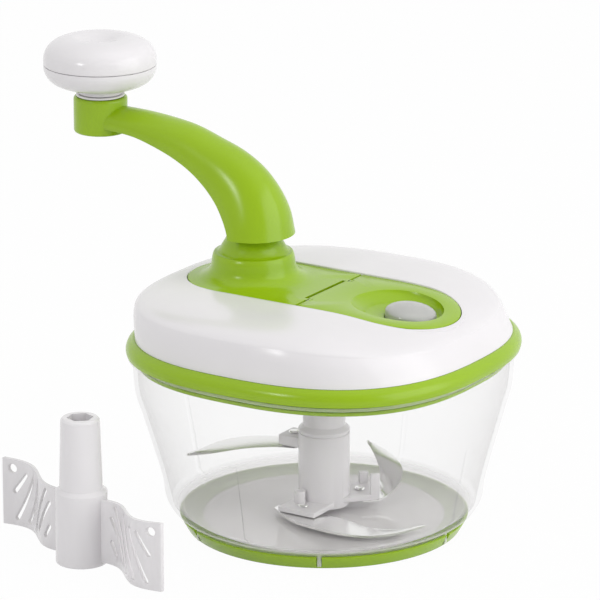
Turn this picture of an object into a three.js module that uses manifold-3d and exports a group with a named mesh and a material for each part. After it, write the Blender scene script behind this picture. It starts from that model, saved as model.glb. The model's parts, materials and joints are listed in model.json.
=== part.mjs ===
// Hand cranked food chopper: a clear bowl on a soft foot, a lid that holds a geared crank,
// a three bladed cutter on a centre pin, and the mixing paddle that takes the cutter's place.
// Millimetres, +Z up. The origin is the middle of the foot, on the table. +X runs from the crank
// tower towards the feed cap, and the crank is parked over -X.
import * as THREE from "three";
import { mergeVertices } from "three/addons/utils/BufferGeometryUtils.js";
import Module from "manifold-3d";

const wasm = await Module();
wasm.setup();

// Clearances
const GAP = 0.3; // between pieces that meet or run on each other
const BACKLASH = 0.3; // between the flanks of the two gears
const OVERRUN = 1; // how far a cutting body runs past what it cuts
const WELD = 1e-4; // corners closer than this are one corner
const FLAT = 0.004; // corners that stand out less than this are left away

// Foot ring and its soft pad
const footShare = 0.7738; // radius on the table as a share of the bowl's top half size
const FOOT_HEIGHT = 6.4;
const FOOT_SPREAD = 3.6;
const FOOT_LEDGE_HEIGHT = 4.5;
const FOOT_WIDTH = 7.5;
const FOOT_LIP = 1.8;
const PAD_RECESS = 0.8;
const PAD_RING_WIDTH = 5;

// Bowl
const BOWL_WALL = 1.9;
const BOWL_FLOOR = 2.2;
const BOWL_TOP_HALF = 84;
const BOWL_RIM_HEIGHT = 86.2;
const BOWL_RIM_THICK = 1.4;
const BOWL_RIM_REACH = 2.2;
const BOWL_SQUARENESS = 2.55; // power of the rounded square at the rim; 2 is a circle
const BOWL_FLOOR_INSET = 7; // from the foot's radius in to the floor's flat middle
const BOWL_FLOOR_OUTSET = 1; // from the foot's radius out to the floor's edge
const BOWL_FLOOR_RISE = 1.8;
const RIB_COUNT = 4;
const RIB_WIDTH = 2.4;
const RIB_DEPTH = 1.6;
const ribTopShare = 0.565; // height of a rib's top as a share of the rim's height
const LUG_COUNT = 6;
const LUG_WIDTH = 2;
const LUG_DEPTH = 1.5;
const LUG_FOOT = 1.4;

// Centre pin
const PIN_RADIUS = 2.75;
const PIN_REACH = 17.5; // into the cutter's hub
const PIN_BOSS_RADIUS = 5.6;
const PIN_BOSS_HEIGHT = 2.2;
const PIN_SEAT_DEPTH = 1.2;

// Gears: the crank's gear and the pinion on the bowl's axis
const moduleShare = 0.0148809524; // gear module as a share of the bowl's top half size
const GEAR_TEETH = 50;
const PINION_TEETH = 13;
const PRESSURE_ANGLE = THREE.MathUtils.degToRad(25);
const GEAR_WIDTH = 7;
const PINION_WIDTH = 8;
const GEAR_FLOAT = 2.6; // height of the gear's underside over the cover plate
const GEAR_HUB_RADIUS = 9;
const GEAR_HUB_HEIGHT = 1.1;
const GEAR_POCKET_DEPTH = 2.4;
const GEAR_POCKET_INNER = 11.5;
const GEAR_RIM_WIDTH = 5.75; // from the gear's pitch circle in to its web's pocket
const FLANK_STEPS = 2;

// Lid: green rim, white shell, cover plate below, green deck on top
const RIM_RISE = 7.8; // height of the lid's rim over the bowl's
const RIM_REACH = 3;
const RIM_FLANGE_WIDTH = 13;
const RIM_FLANGE_THICK = 1.8;
const SKIRT_DROP = 5.4;
const SKIRT_THICK = 2;
const SEAL_HEIGHT = 1.6;
const SEAL_DEPTH = 1.1;
const SEAL_RISE = 1.8;
const SHELL_SETBACK = 4;
const SHELL_RISE = 21.6;
const SHELL_WALL = 2.2;
const SHELL_ROUND = 33; // how far in from the wall the shell is flat
const SHELL_LEAN = 3.5; // how far the shell's top is set towards the crank
const COVER_THICK = 2.2;
const DECK_SINK = 0.6;
const DECK_THICK = 2.5;
const DECK_REAR_SETBACK = 12.4;
const DECK_FRONT_SETBACK = 13.8;
const DECK_HALF_WIDTH = 30.3;
const DROOP = 5.2; // how far the lid's top drops at the deck's front end
const DROOP_START = 18.5;
const SCREW_RADIUS = 1.5;
const SCREW_HEAD_RADIUS = 2.6;
const SCREW_HEAD_HEIGHT = 1.6;
const SCREW_LENGTH = 12;
const SCREW_COUNT = 4;
const SCREW_POST_RADIUS = 3.5;
const SCREW_INSET = 2.27; // from the flange's inner corner out to the screws' circle

// Crank tower on the deck
const TOWER_HEIGHT = 21.2;
const TOWER_TOP_RADIUS = 11.8;
const TOWER_CONE_RADIUS = 12.6;
const TOWER_LEDGE_RADIUS = 17.2;
const TOWER_STEP_RADIUS = 19;
const TOWER_STEP_HEIGHT = 12.6;
const TOWER_WALL_RADIUS = 21.3;
const TOWER_WALL_HEIGHT = 3.7;
const TOWER_FLARE_RADIUS = 29.4;
const TOWER_TUBE_RADIUS = 10.6;
const TOWER_BORE_RADIUS = 8.3;
const BUSH_FLANGE = 1;
const BUSH_FLANGE_RADIUS = 10.2;

// Crank
const CRANK_THROW = 86.6;
const SHAFT_RADIUS = 4;
const SHAFT_GRIP = 15.2;
const ARM_LIFT = 0.6;
const ARM_HUB_RADIUS = 19.5;
const ARM_SOCKET_RADIUS = 11.2;
const ARM_SOCKET_HEIGHT = 16;
const KNOB_BOSS_RADIUS = 12.9;
const KNOB_BOSS_RISE = 37.2;
const KNOB_BOSS_HEIGHT = 17.4;
const KNOB_BOSS_ROUND = 1.4;
const CLIP_RADIUS = 6.6;
const CLIP_THICK = 1;
const COLLAR_HEIGHT = 1;

// Knob
const KNOB_RADIUS = 27;
const KNOB_LOW_HEIGHT = 14.1;
const KNOB_TOP_HEIGHT = 13;
const KNOB_NECK_RADIUS = 10.6;
const KNOB_WALL = 2.4;
const KNOB_WASHER_RADIUS = 11.6;
const KNOB_WASHER_THICK = 0.9;
const KNOB_PIN_RADIUS = 3;
const KNOB_PIN_HEAD_RADIUS = 5.6;
const KNOB_PIN_HEAD_HEIGHT = 2;
const KNOB_FLOOR_THICK = 3;

// Feed cap, hinged on the deck, and the plug below it
const HINGE_DROP = 0.75; // depth of the hinge's axis under the deck's top
const HINGE_X = 2.6;
const HINGE_PIN_RADIUS = 0.6;
const HINGE_BORE_RADIUS = 0.85;
const HINGE_BARREL_RADIUS = 1.3;
const HINGE_BARREL_HALF = 16.6;
const HINGE_EAR_WIDTH = 3;
const HINGE_EAR_REACH = 1.4;
const SEAM_WIDTH = 0.95;
const SLOT_WIDTH = 1.7;
// Shares of the cap's length: the scoop's and the window's middles from the hinge, half lengths
const scoopPlaceShare = 0.5616;
const scoopHalfShare = 0.3243;
const windowPlaceShare = 0.6441;
const windowHalfShare = 0.2042;
const SCOOP_HALF_WIDTH = 20.6;
const SCOOP_DEPTH = 4.6;
const SCOOP_WALL = 1.8;
const SCOOP_FLOOR_SHIFT = 3;
const WINDOW_HALF_WIDTH = 15.2;
const PLUG_DOME = 2.4;
const PLUG_DEPTH = 3;
const PLUG_TAPER = 1.6;
const PLUG_LIP = 1.2;
const FEED_TUBE_WALL = 1.8;
const WELL_BACK = 11; // place along X of the feed well's back wall
const WELL_WALL = 1.8;
const WELL_DROP = 0.6; // from the feed tube's rim down to the well's floor

// Drive spindle between the lid and the cutter
const SPINDLE_RADIUS = 5;
const SPINDLE_BUSH_RADIUS = 7.4;
const SPINDLE_BOSS_RADIUS = 9.6;
const SPINDLE_BOSS_DROP = 5.4;
const DRIVER_RADIUS = 5.4;
const DRIVER_LIFT = 3; // over the socket's floor
const JOURNAL_RADIUS = 3;
const JOURNAL_HEIGHT = 5;
const BEARING_RADIUS = 7.4;

// Cutter hub, its three blades and their rivets
const HUB_RADIUS = 12.2;
const HUB_UPPER_RADIUS = 10.1;
const HUB_LOW_HEIGHT = 38;
const HUB_SHOULDER_HEIGHT = 1.6;
const HUB_TOP_DROP = 4.6; // under the bowl's rim
const HUB_RING_DEPTH = 0.5;
const SOCKET_RADIUS = 6.3;
const SOCKET_DEPTH = 21.6;
const HOLDER_THICK = 2.5;
const BLADE_THICK = 1.1;
const BLADE_REACH = 58.5;
const LOW_BLADE_DROP = 0.3;
const FIN_BLADE_LIFT = 1.1;
const FIN_RISE = 18;
const HIGH_BLADE_LIFT = 25.6;
const HIGH_REACH = 65.5;
const HIGH_DROOP = 1.6;
const POST_RADIUS = 2.6;
const POST_HEIGHT = 6;
const FENCE_THICK = 2.2;
const FENCE_LENGTH = 4.5;
const TALL_FENCE_HEIGHT = 10.5;
const SHORT_FENCE_HEIGHT = 5.5;
const BLOCK_HEIGHT = 5;
const LOW_HOLDER_ANGLE = THREE.MathUtils.degToRad(270);
const FIN_HOLDER_ANGLE = THREE.MathUtils.degToRad(48);
const HIGH_HOLDER_ANGLE = THREE.MathUtils.degToRad(180);
const LOW_HOLDER_REACH = 25;
const LOW_HOLDER_HALF = 10;
const FIN_HOLDER_REACH = 24.5;
const FIN_HOLDER_HALF = 10.5;
const HIGH_HOLDER_REACH = 21.5;
const HIGH_HOLDER_HALF = 6.5;
const RIVET_RADIUS = 1.5;
const RIVET_HEAD_RADIUS = 2.7;
const RIVET_HEAD_HEIGHT = 0.8;

// Mixing paddle, stood beside the bowl
const PADDLE_X = -66;
const PADDLE_Y = -106;
const PADDLE_TURN = THREE.MathUtils.degToRad(-18);
const PADDLE_HEIGHT = 70;
const PADDLE_SHOULDER = 34.5;
const PADDLE_HALF_SPAN = 60.5;
const WING_HEIGHT = 33;
const WING_FOOT = 2;
const WING_THICK = 1.8;
const WING_WAVE = 4.5;
const WING_SLOTS = 6;
const WING_SLOT_WIDTH = 2.3;
const WING_HOLE_RADIUS = 2.2;

// Steps round a full turn
const FINE_STEPS = 48;
const ROUND_STEPS = 32;
const SMALL_STEPS = 16;
const TINY_STEPS = 8;
const HEX_STEPS = 6;
const ARC_STEPS = 9; // pairs of steps round a half turn of an outline
const SLOT_STEPS = 2; // the same for the small slots and holes

// Places that follow from the sizes above
const FOOT_RADIUS = BOWL_TOP_HALF * footShare;
const FOOT_TOP_RADIUS = FOOT_RADIUS + FOOT_SPREAD;
const FOOT_HOLE_RADIUS = FOOT_RADIUS - FOOT_WIDTH;
const BOWL_UNDER = FOOT_LEDGE_HEIGHT + GAP;
const BOWL_FLOOR_FLAT = FOOT_RADIUS - BOWL_FLOOR_INSET;
const BOWL_FLOOR_EDGE = FOOT_RADIUS + BOWL_FLOOR_OUTSET;
const FLOOR_TOP = BOWL_UNDER + BOWL_FLOOR;
const RIB_TOP = BOWL_RIM_HEIGHT * ribTopShare;
const RIM_FOOT = BOWL_RIM_HEIGHT + GAP;
const RIM_TOP = BOWL_RIM_HEIGHT + RIM_RISE;
const RIM_HALF = BOWL_TOP_HALF + RIM_REACH;
const RIM_FLANGE_HALF = RIM_HALF - RIM_FLANGE_WIDTH;
const SKIRT_FOOT = BOWL_RIM_HEIGHT - SKIRT_DROP;
const SHELL_HALF = RIM_HALF - SHELL_SETBACK;
const SHELL_TOP = RIM_TOP + SHELL_RISE;
const SCREW_PLACE_RADIUS = squareReach(RIM_FLANGE_HALF, BOWL_SQUARENESS, Math.PI / 4) + SCREW_INSET;
const DECK_TOP = SHELL_TOP - DECK_SINK;
const DECK_REAR = SHELL_HALF - DECK_REAR_SETBACK;
const DECK_FRONT = SHELL_HALF - DECK_FRONT_SETBACK;
const SKIRT_HALF = BOWL_TOP_HALF - BOWL_WALL - GAP - GAP;
const COVER_TOP = RIM_TOP - RIM_FLANGE_THICK - GAP;
const COVER_UNDER = COVER_TOP - COVER_THICK;
const GEAR_UNDER = COVER_TOP + GEAR_FLOAT;
const GEAR_TOP = GEAR_UNDER + GEAR_WIDTH;
const GEAR_MODULE = BOWL_TOP_HALF * moduleShare;
const GEAR_POCKET_OUTER = (GEAR_MODULE * GEAR_TEETH) / 2 - GEAR_RIM_WIDTH;
const CENTRE_DISTANCE = (GEAR_MODULE * (GEAR_TEETH + PINION_TEETH)) / 2;
const CRANK_X = -CENTRE_DISTANCE;
const KNOB_X = CRANK_X - CRANK_THROW;
const DECK_UNDER = DECK_TOP - DECK_THICK;
const TOWER_TUBE_FOOT = GEAR_TOP + GEAR_HUB_HEIGHT + BUSH_FLANGE + GAP + GAP;
const TOWER_TOP = DECK_TOP + TOWER_HEIGHT;
const ARM_FOOT = TOWER_TOP + ARM_LIFT;
const SHAFT_TOP = ARM_FOOT + SHAFT_GRIP;
const KNOB_BOSS_FOOT = ARM_FOOT + KNOB_BOSS_RISE;
const KNOB_BOSS_TOP = KNOB_BOSS_FOOT + KNOB_BOSS_HEIGHT;
const KNOB_FOOT = KNOB_BOSS_TOP + KNOB_WASHER_THICK + GAP + GAP;
const KNOB_SEAM = KNOB_FOOT + KNOB_LOW_HEIGHT;
const HINGE_Z = DECK_TOP - HINGE_DROP;
const CAP_LENGTH = DECK_FRONT - HINGE_X;
const SCOOP_X = HINGE_X + CAP_LENGTH * scoopPlaceShare;
const SCOOP_HALF_LENGTH = CAP_LENGTH * scoopHalfShare;
const WINDOW_X = HINGE_X + CAP_LENGTH * windowPlaceShare;
const WINDOW_HALF_LENGTH = CAP_LENGTH * windowHalfShare;
const SCOOP_FLOOR = DECK_TOP - SCOOP_DEPTH;
const PLUG_SEAT = SCOOP_FLOOR - SCOOP_WALL - GAP;
const TUBE_FAR_X = WINDOW_X + WINDOW_HALF_LENGTH + FEED_TUBE_WALL;
const TUBE_TOP = PLUG_SEAT - PLUG_LIP - GAP - droopAt(TUBE_FAR_X);
const HUB_FOOT = FLOOR_TOP + PIN_BOSS_HEIGHT + GAP;
const PIN_TOP = HUB_FOOT + PIN_REACH;
const HUB_SHOULDER = HUB_FOOT + HUB_LOW_HEIGHT;
const HUB_TOP = BOWL_RIM_HEIGHT - HUB_TOP_DROP;
const SOCKET_FOOT = HUB_TOP - SOCKET_DEPTH;
const DRIVER_FOOT = SOCKET_FOOT + DRIVER_LIFT;
const LOW_BLADE_Z = HUB_FOOT - LOW_BLADE_DROP;
const FIN_BLADE_Z = HUB_FOOT + FIN_BLADE_LIFT;
const HIGH_BLADE_Z = HUB_FOOT + HIGH_BLADE_LIFT;

// How far the lid's top has dropped at a place along the deck
function droopAt(x) {
  const run = Math.max(0, x - DROOP_START) / (DECK_FRONT - DROOP_START);
  return DROOP * run * run;
}

// Finishes
function finish(colour, roughness, metalness = 0, opacity = 1) {
  return { color: colour, roughness, metalness, opacity, transparent: opacity < 1 };
}
const GREEN = finish(0x8cc21e, 0.28);
const WHITE = finish(0xf1eeee, 0.25);
const CLEAR = finish(0xe9edec, 0.08, 0, 0.35);
const STEEL = finish(0xc4c6c8, 0.25, 1);
const PAD = finish(0xc9cfcb, 0.6);
const NYLON = finish(0xe6e2d6, 0.45);
const SILICONE = finish(0xd9dbd8, 0.55);

// A closed geometry as a solid whose faces point out.
function solidOf(geometry) {
  const loose = geometry.index ? geometry.toNonIndexed() : geometry;
  const bare = new THREE.BufferGeometry();
  bare.setAttribute("position", loose.getAttribute("position"));
  const merged = mergeVertices(bare, WELD);
  const corner = merged.index.array;
  const place = merged.attributes.position;
  const kept = [];
  let volume = 0;
  const [a, b, c] = [new THREE.Vector3(), new THREE.Vector3(), new THREE.Vector3()];
  for (let i = 0; i < corner.length; i += 3) {
    const [p, q, r] = [corner[i], corner[i + 1], corner[i + 2]];
    if (p === q || q === r || r === p) continue;
    kept.push(p, q, r);
    a.fromBufferAttribute(place, p);
    b.fromBufferAttribute(place, q);
    c.fromBufferAttribute(place, r);
    volume += a.dot(b.cross(c));
  }
  const triVerts = new Uint32Array(volume < 0 ? kept.reverse() : kept);
  const mesh = new wasm.Mesh({ numProp: 3, vertProperties: place.array, triVerts });
  return new wasm.Manifold(mesh);
}

// A solid as a geometry.
function geometryOf(solid) {
  const mesh = solid.asOriginal().simplify(FLAT).getMesh();
  const geometry = new THREE.BufferGeometry();
  const places = new THREE.BufferAttribute(new Float32Array(mesh.vertProperties), mesh.numProp);
  geometry.setAttribute("position", places);
  geometry.setIndex(new THREE.BufferAttribute(new Uint32Array(mesh.triVerts), 1));
  const flat = geometry.toNonIndexed();
  flat.computeVertexNormals();
  return flat;
}

const join = (first, ...others) => others.reduce((whole, other) => whole.add(other), first);
const cut = (first, ...others) => others.reduce((whole, other) => whole.subtract(other), first);

const group = new THREE.Group();

// Adds one finished solid to the object under its name.
function addPiece(name, solid, look) {
  const mesh = new THREE.Mesh(geometryOf(solid), new THREE.MeshStandardMaterial(look));
  mesh.name = name;
  group.add(mesh);
  return mesh;
}

// Basic bodies
function rod(radius, foot, top, x = 0, y = 0, steps = SMALL_STEPS, topRadius = radius) {
  const geometry = new THREE.CylinderGeometry(topRadius, radius, top - foot, steps);
  geometry.rotateX(Math.PI / 2);
  return solidOf(geometry.translate(x, y, (foot + top) / 2));
}

function block(from, to) {
  const size = to.map((value, i) => value - from[i]);
  const middle = to.map((value, i) => (value + from[i]) / 2);
  return solidOf(new THREE.BoxGeometry(...size).translate(...middle));
}

function turned(profile, x = 0, y = 0, steps = ROUND_STEPS) {
  const points = profile.map(([radius, height]) => new THREE.Vector2(radius, height));
  if (profile[0][0] > 0 || profile.at(-1)[0] > 0) points.push(points[0].clone());
  const geometry = new THREE.LatheGeometry(points, steps);
  geometry.rotateX(Math.PI / 2);
  return solidOf(geometry.translate(x, y, 0));
}

function prism(shape, foot, top, curveSteps = ARC_STEPS) {
  const settings = { depth: top - foot, bevelEnabled: false, curveSegments: curveSteps };
  return solidOf(new THREE.ExtrudeGeometry(shape, settings).translate(0, 0, foot));
}

const turnedAbout = (solid, degrees) => solid.rotate([0, 0, degrees]);

// A body whose sections are the given rings of points, closed by a fan at each end.
function loft(rings) {
  const positions = [];
  const count = rings[0].length;
  const put = (...points) => points.forEach((p) => positions.push(p[0], p[1], p[2]));
  const middle = (ring) => [0, 1, 2].map((i) => ring.reduce((sum, p) => sum + p[i], 0) / count);
  const ends = [middle(rings[0]), middle(rings.at(-1))];
  for (let k = 0; k < count; k++) {
    const next = (k + 1) % count;
    for (let i = 0; i + 1 < rings.length; i++) {
      const [low, high] = [rings[i], rings[i + 1]];
      put(low[k], low[next], high[next], low[k], high[next], high[k]);
    }
    put(ends[0], rings[0][next], rings[0][k]);
    put(ends[1], rings.at(-1)[k], rings.at(-1)[next]);
  }
  const geometry = new THREE.BufferGeometry();
  geometry.setAttribute("position", new THREE.Float32BufferAttribute(positions, 3));
  return solidOf(geometry);
}

// Distance from the axis to a rounded square of this half size, in one direction.
function squareReach(half, power, angle) {
  const across = Math.abs(Math.cos(angle)) ** power + Math.abs(Math.sin(angle)) ** power;
  return half * across ** (-1 / power);
}

// A body swept round the axis along rounded squares. Each stop of the outline is [half size,
// height, power], and the outline closes on itself or starts and ends on the axis.
function sweptSquare(outline, steps = FINE_STEPS) {
  const positions = [];
  const point = ([half, height, power], k) => {
    const angle = (2 * Math.PI * (k % steps)) / steps;
    const reach = half > 0 ? squareReach(half, power, angle) : 0;
    return [reach * Math.cos(angle), reach * Math.sin(angle), height];
  };
  const stops = outline[0][0] > 0 ? [...outline, outline[0]] : outline;
  for (let i = 0; i + 1 < stops.length; i++) {
    for (let k = 0; k < steps; k++) {
      const [a, b] = [point(stops[i], k), point(stops[i], k + 1)];
      const [c, d] = [point(stops[i + 1], k + 1), point(stops[i + 1], k)];
      positions.push(...a, ...b, ...c, ...a, ...c, ...d);
    }
  }
  const geometry = new THREE.BufferGeometry();
  geometry.setAttribute("position", new THREE.Float32BufferAttribute(positions, 3));
  return solidOf(geometry);
}

const polar = (radius, angle) =>
  new THREE.Vector2(radius * Math.cos(angle), radius * Math.sin(angle));

// Angle of one copy among several set evenly round the axis.
const spread = (index, count, start = 0) => start + (2 * Math.PI * index) / count;

// Outer wall of the bowl: share of its height, share of its top half size, share of its squareness
const wallShares = [
  [0, 0.773, 0],
  [0.026, 0.798, 0],
  [0.057, 0.845, 0],
  [0.103, 0.879, 0],
  [0.24, 0.9, 0.1],
  [0.478, 0.943, 0.35],
  [0.665, 0.974, 0.65],
  [0.878, 0.997, 1],
  [1, 1, 1],
];
const innerWallStart = 3; // the inner wall leaves out the stops below the floor's fillet

function wallStops(inset, first = 0) {
  const height = BOWL_RIM_HEIGHT - BOWL_RIM_THICK - BOWL_UNDER;
  return wallShares.slice(first).map(([up, out, square]) => [
    BOWL_TOP_HALF * out - inset,
    BOWL_UNDER + height * up,
    2 + (BOWL_SQUARENESS - 2) * square,
  ]);
}

// Half size of the bowl's inner wall at a height.
function innerHalfAt(height) {
  const stops = wallStops(BOWL_WALL, innerWallStart);
  const above = Math.max(1, stops.findIndex((stop) => stop[1] >= height));
  const [low, high] = [stops[above - 1], stops[above]];
  const share = (height - low[1]) / (high[1] - low[1]);
  return low[0] + (high[0] - low[0]) * share;
}

// One upright rib that stands in from the wall, thinner towards its top.
function wallRib(index) {
  const levelShares = [0, 0.3, 0.65, 1];
  const widthShares = [1, 0.9, 0.75, 0.5];
  const foot = FLOOR_TOP + BOWL_FLOOR_RISE + BOWL_WALL;
  const rings = levelShares.map((share, i) => {
    const z = foot + (RIB_TOP - foot) * share;
    const outer = innerHalfAt(z) + BOWL_WALL / 2;
    const inner = innerHalfAt(z) - RIB_DEPTH * widthShares[i];
    const side = (RIB_WIDTH / 2) * widthShares[i];
    return [[inner, -side, z], [outer, -side, z], [outer, side, z], [inner, side, z]];
  });
  return turnedAbout(loft(rings), (360 * index) / RIB_COUNT);
}

// One clip of the bowl that shows in a notch of the foot ring.
function footLug(index, spare = 0) {
  const reach = FOOT_TOP_RADIUS - FOOT_LIP - LUG_DEPTH;
  const side = LUG_WIDTH / 2 + spare;
  const from = [reach - spare, -side, LUG_FOOT - spare];
  const to = [BOWL_TOP_HALF * wallShares[1][1] - spare / 2, side, FOOT_HEIGHT + GAP];
  const body = block(from, spare ? [FOOT_TOP_RADIUS + OVERRUN, side, FOOT_HEIGHT + OVERRUN] : to);
  return turnedAbout(body, (360 * index) / LUG_COUNT);
}

function makeBowl() {
  const rimOut = BOWL_TOP_HALF + BOWL_RIM_REACH;
  const innerTop = wallStops(BOWL_WALL).at(-1);
  const outline = [
    [0, BOWL_UNDER, 2],
    ...wallStops(0),
    [rimOut, BOWL_RIM_HEIGHT - BOWL_RIM_THICK, BOWL_SQUARENESS],
    [rimOut, BOWL_RIM_HEIGHT, BOWL_SQUARENESS],
    [innerTop[0], BOWL_RIM_HEIGHT, BOWL_SQUARENESS],
    ...wallStops(BOWL_WALL, innerWallStart).reverse(),
    [BOWL_FLOOR_EDGE, FLOOR_TOP + BOWL_FLOOR_RISE, 2],
    [BOWL_FLOOR_FLAT, FLOOR_TOP, 2],
    [0, FLOOR_TOP, 2],
  ];
  const ribs = Array.from({ length: RIB_COUNT }, (_, i) => wallRib(i));
  const lugs = Array.from({ length: LUG_COUNT }, (_, i) => footLug(i));
  const boss = rod(PIN_BOSS_RADIUS, FLOOR_TOP - BOWL_FLOOR / 2, FLOOR_TOP + PIN_BOSS_HEIGHT);
  const seatFoot = FLOOR_TOP - PIN_SEAT_DEPTH;
  const seat = rod(PIN_RADIUS + GAP, seatFoot, FLOOR_TOP + PIN_BOSS_HEIGHT + OVERRUN);
  return cut(join(sweptSquare(outline), boss, ...ribs, ...lugs), seat);
}

function makeFootRing() {
  const ledge = BOWL_TOP_HALF * wallShares[0][1] + GAP;
  const profile = [
    [FOOT_HOLE_RADIUS, PAD_RECESS],
    [FOOT_RADIUS - PAD_RING_WIDTH, 0],
    [FOOT_RADIUS, 0],
    [FOOT_TOP_RADIUS, FOOT_HEIGHT],
    [FOOT_TOP_RADIUS - FOOT_LIP, FOOT_HEIGHT],
    [ledge, FOOT_LEDGE_HEIGHT],
    [FOOT_HOLE_RADIUS, FOOT_LEDGE_HEIGHT],
  ];
  const notches = Array.from({ length: LUG_COUNT }, (_, i) => footLug(i, GAP));
  return cut(turned(profile, 0, 0, FINE_STEPS), ...notches);
}

function makeFootPad() {
  return rod(FOOT_HOLE_RADIUS - GAP, 0, FOOT_LEDGE_HEIGHT, 0, 0, FINE_STEPS);
}

function makeCentrePin() {
  const tip = PIN_RADIUS / 2;
  return turned([
    [0, FLOOR_TOP - PIN_SEAT_DEPTH + GAP],
    [PIN_RADIUS, FLOOR_TOP - PIN_SEAT_DEPTH + GAP],
    [PIN_RADIUS, PIN_TOP - tip],
    [tip, PIN_TOP],
    [0, PIN_TOP],
  ], 0, 0, SMALL_STEPS);
}

// Green rim of the lid: a rounded band outside, a flange that carries the shell, and a skirt
// that hangs inside the bowl with a groove for the seal.
const rimBandShares = [[0.995, 0], [1, 0.28], [0.99, 0.7], [0.964, 1]];

function makeLidRim() {
  const band = rimBandShares.map(([out, up]) => [
    RIM_HALF * out,
    RIM_FOOT + (RIM_TOP - RIM_FOOT) * up,
    BOWL_SQUARENESS,
  ]);
  const grooveFoot = SKIRT_FOOT + SEAL_RISE;
  const grooveTop = grooveFoot + SEAL_HEIGHT + GAP + GAP;
  const at = (half, height) => [half, height, BOWL_SQUARENESS];
  return sweptSquare([
    ...band,
    at(RIM_FLANGE_HALF, RIM_TOP),
    at(RIM_FLANGE_HALF, RIM_TOP - RIM_FLANGE_THICK),
    at(SKIRT_HALF - SKIRT_THICK, RIM_TOP - RIM_FLANGE_THICK),
    at(SKIRT_HALF - SKIRT_THICK, SKIRT_FOOT),
    at(SKIRT_HALF, SKIRT_FOOT),
    at(SKIRT_HALF, grooveFoot),
    at(SKIRT_HALF - SEAL_DEPTH - GAP, grooveFoot),
    at(SKIRT_HALF - SEAL_DEPTH - GAP, grooveTop),
    at(SKIRT_HALF, grooveTop),
    at(SKIRT_HALF, RIM_FOOT),
  ]);
}

function makeLidSeal() {
  const foot = SKIRT_FOOT + SEAL_RISE + GAP;
  const inner = SKIRT_HALF - SEAL_DEPTH;
  const at = (half, height) => [half, height, BOWL_SQUARENESS];
  return sweptSquare([
    at(inner, foot),
    at(SKIRT_HALF + GAP / 2, foot),
    at(SKIRT_HALF + GAP / 2, foot + SEAL_HEIGHT),
    at(inner, foot + SEAL_HEIGHT),
  ]);
}

// Outline of the deck: two half rounds joined by straight sides. An end that is given is cut
// straight across there, and the sides have corners enough to follow the drooping lid.
function deckShape(spare, fromX = null, toX = null) {
  const shape = new THREE.Shape();
  const radius = DECK_HALF_WIDTH + spare;
  const rear = fromX ?? DECK_HALF_WIDTH - DECK_REAR;
  const front = toX ?? DECK_FRONT - DECK_HALF_WIDTH;
  const sideSteps = 8;
  const at = (share) => rear + ((front - rear) * share) / sideSteps;
  if (fromX === null) shape.absarc(rear, 0, radius, Math.PI / 2, (3 * Math.PI) / 2, false);
  else shape.moveTo(rear, radius);
  for (let i = 0; i <= sideSteps; i++) shape.lineTo(at(i), -radius);
  if (toX === null) shape.absarc(front, 0, radius, -Math.PI / 2, Math.PI / 2, false);
  for (let i = sideSteps; i >= 0; i--) shape.lineTo(at(i), radius);
  shape.closePath();
  return shape;
}

// Side of the shell: shares of its round in from the wall and of its height
const shellShares = [[0, 0], [0.082, 0.68], [0.1, 0.742], [0.158, 0.812], [0.267, 0.878],
  [0.433, 0.934], [0.697, 0.977], [1, 1]];

function shellStops(inset) {
  const foot = RIM_TOP + GAP;
  return shellShares.map(([inward, up]) => [
    SHELL_HALF - inset - SHELL_ROUND * inward,
    foot + (SHELL_TOP - inset - foot) * up,
    BOWL_SQUARENESS,
  ]);
}

// Share of the lid's height over its rim, from 0 at the rim to 1 at the deck
function heightShare(z) {
  const foot = RIM_TOP + GAP;
  return THREE.MathUtils.clamp((z - foot) / (DECK_TOP - foot), 0, 1);
}

const leanSteep = 1.4; // the lean is all there before the deck's height
const leaning = (solid) => solid.warp((point) => {
  point[0] -= SHELL_LEAN * Math.min(1, heightShare(point[2]) * leanSteep);
});
const drooping = (solid) => solid.warp((point) => {
  point[2] -= droopAt(point[0]) * heightShare(point[2]);
});
const droopingAll = (solid) => solid.warp((point) => {
  point[2] -= droopAt(point[0]);
});

// The space under a skin of the shell, down to a height
function underShell(inset, foot) {
  const stops = shellStops(inset);
  return leaning(sweptSquare([
    [0, foot, 2],
    [stops[0][0], foot, BOWL_SQUARENESS],
    ...stops.slice(foot < stops[0][1] ? 0 : 1),
    [0, SHELL_TOP - inset, 2],
  ]));
}

function screwPlace(index) {
  const angle = spread(index, SCREW_COUNT, Math.PI / 4);
  return [SCREW_PLACE_RADIUS * Math.cos(angle), SCREW_PLACE_RADIUS * Math.sin(angle)];
}

function screwPost(index) {
  const [x, y] = screwPlace(index);
  const foot = RIM_TOP + GAP;
  return rod(SCREW_POST_RADIUS, foot, SHELL_TOP, x, y).intersect(underShell(SHELL_WALL / 2, foot));
}

// The well under the feed cap: a floor round the feed tube, walls up to the skin, and a back wall
// that hides the gears
function feedWell() {
  const foot = TUBE_TOP - WELL_DROP - WELL_WALL;
  const outer = prism(deckShape(GAP + WELL_WALL, WELL_BACK), foot, SHELL_TOP);
  const inner = prism(deckShape(GAP, WELL_BACK + WELL_WALL), foot + WELL_WALL, SHELL_TOP + OVERRUN);
  const tube = windowBody(GAP + FEED_TUBE_WALL + GAP, foot - OVERRUN, foot + WELL_WALL + OVERRUN);
  const half = DECK_HALF_WIDTH + GAP;
  const backTop = block([WELL_BACK - OVERRUN, -half, DECK_UNDER - GAP],
    [WELL_BACK + WELL_WALL, half, SHELL_TOP + OVERRUN]);
  return cut(outer, inner, tube, backTop).intersect(underShell(SHELL_WALL / 2, foot));
}

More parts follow.
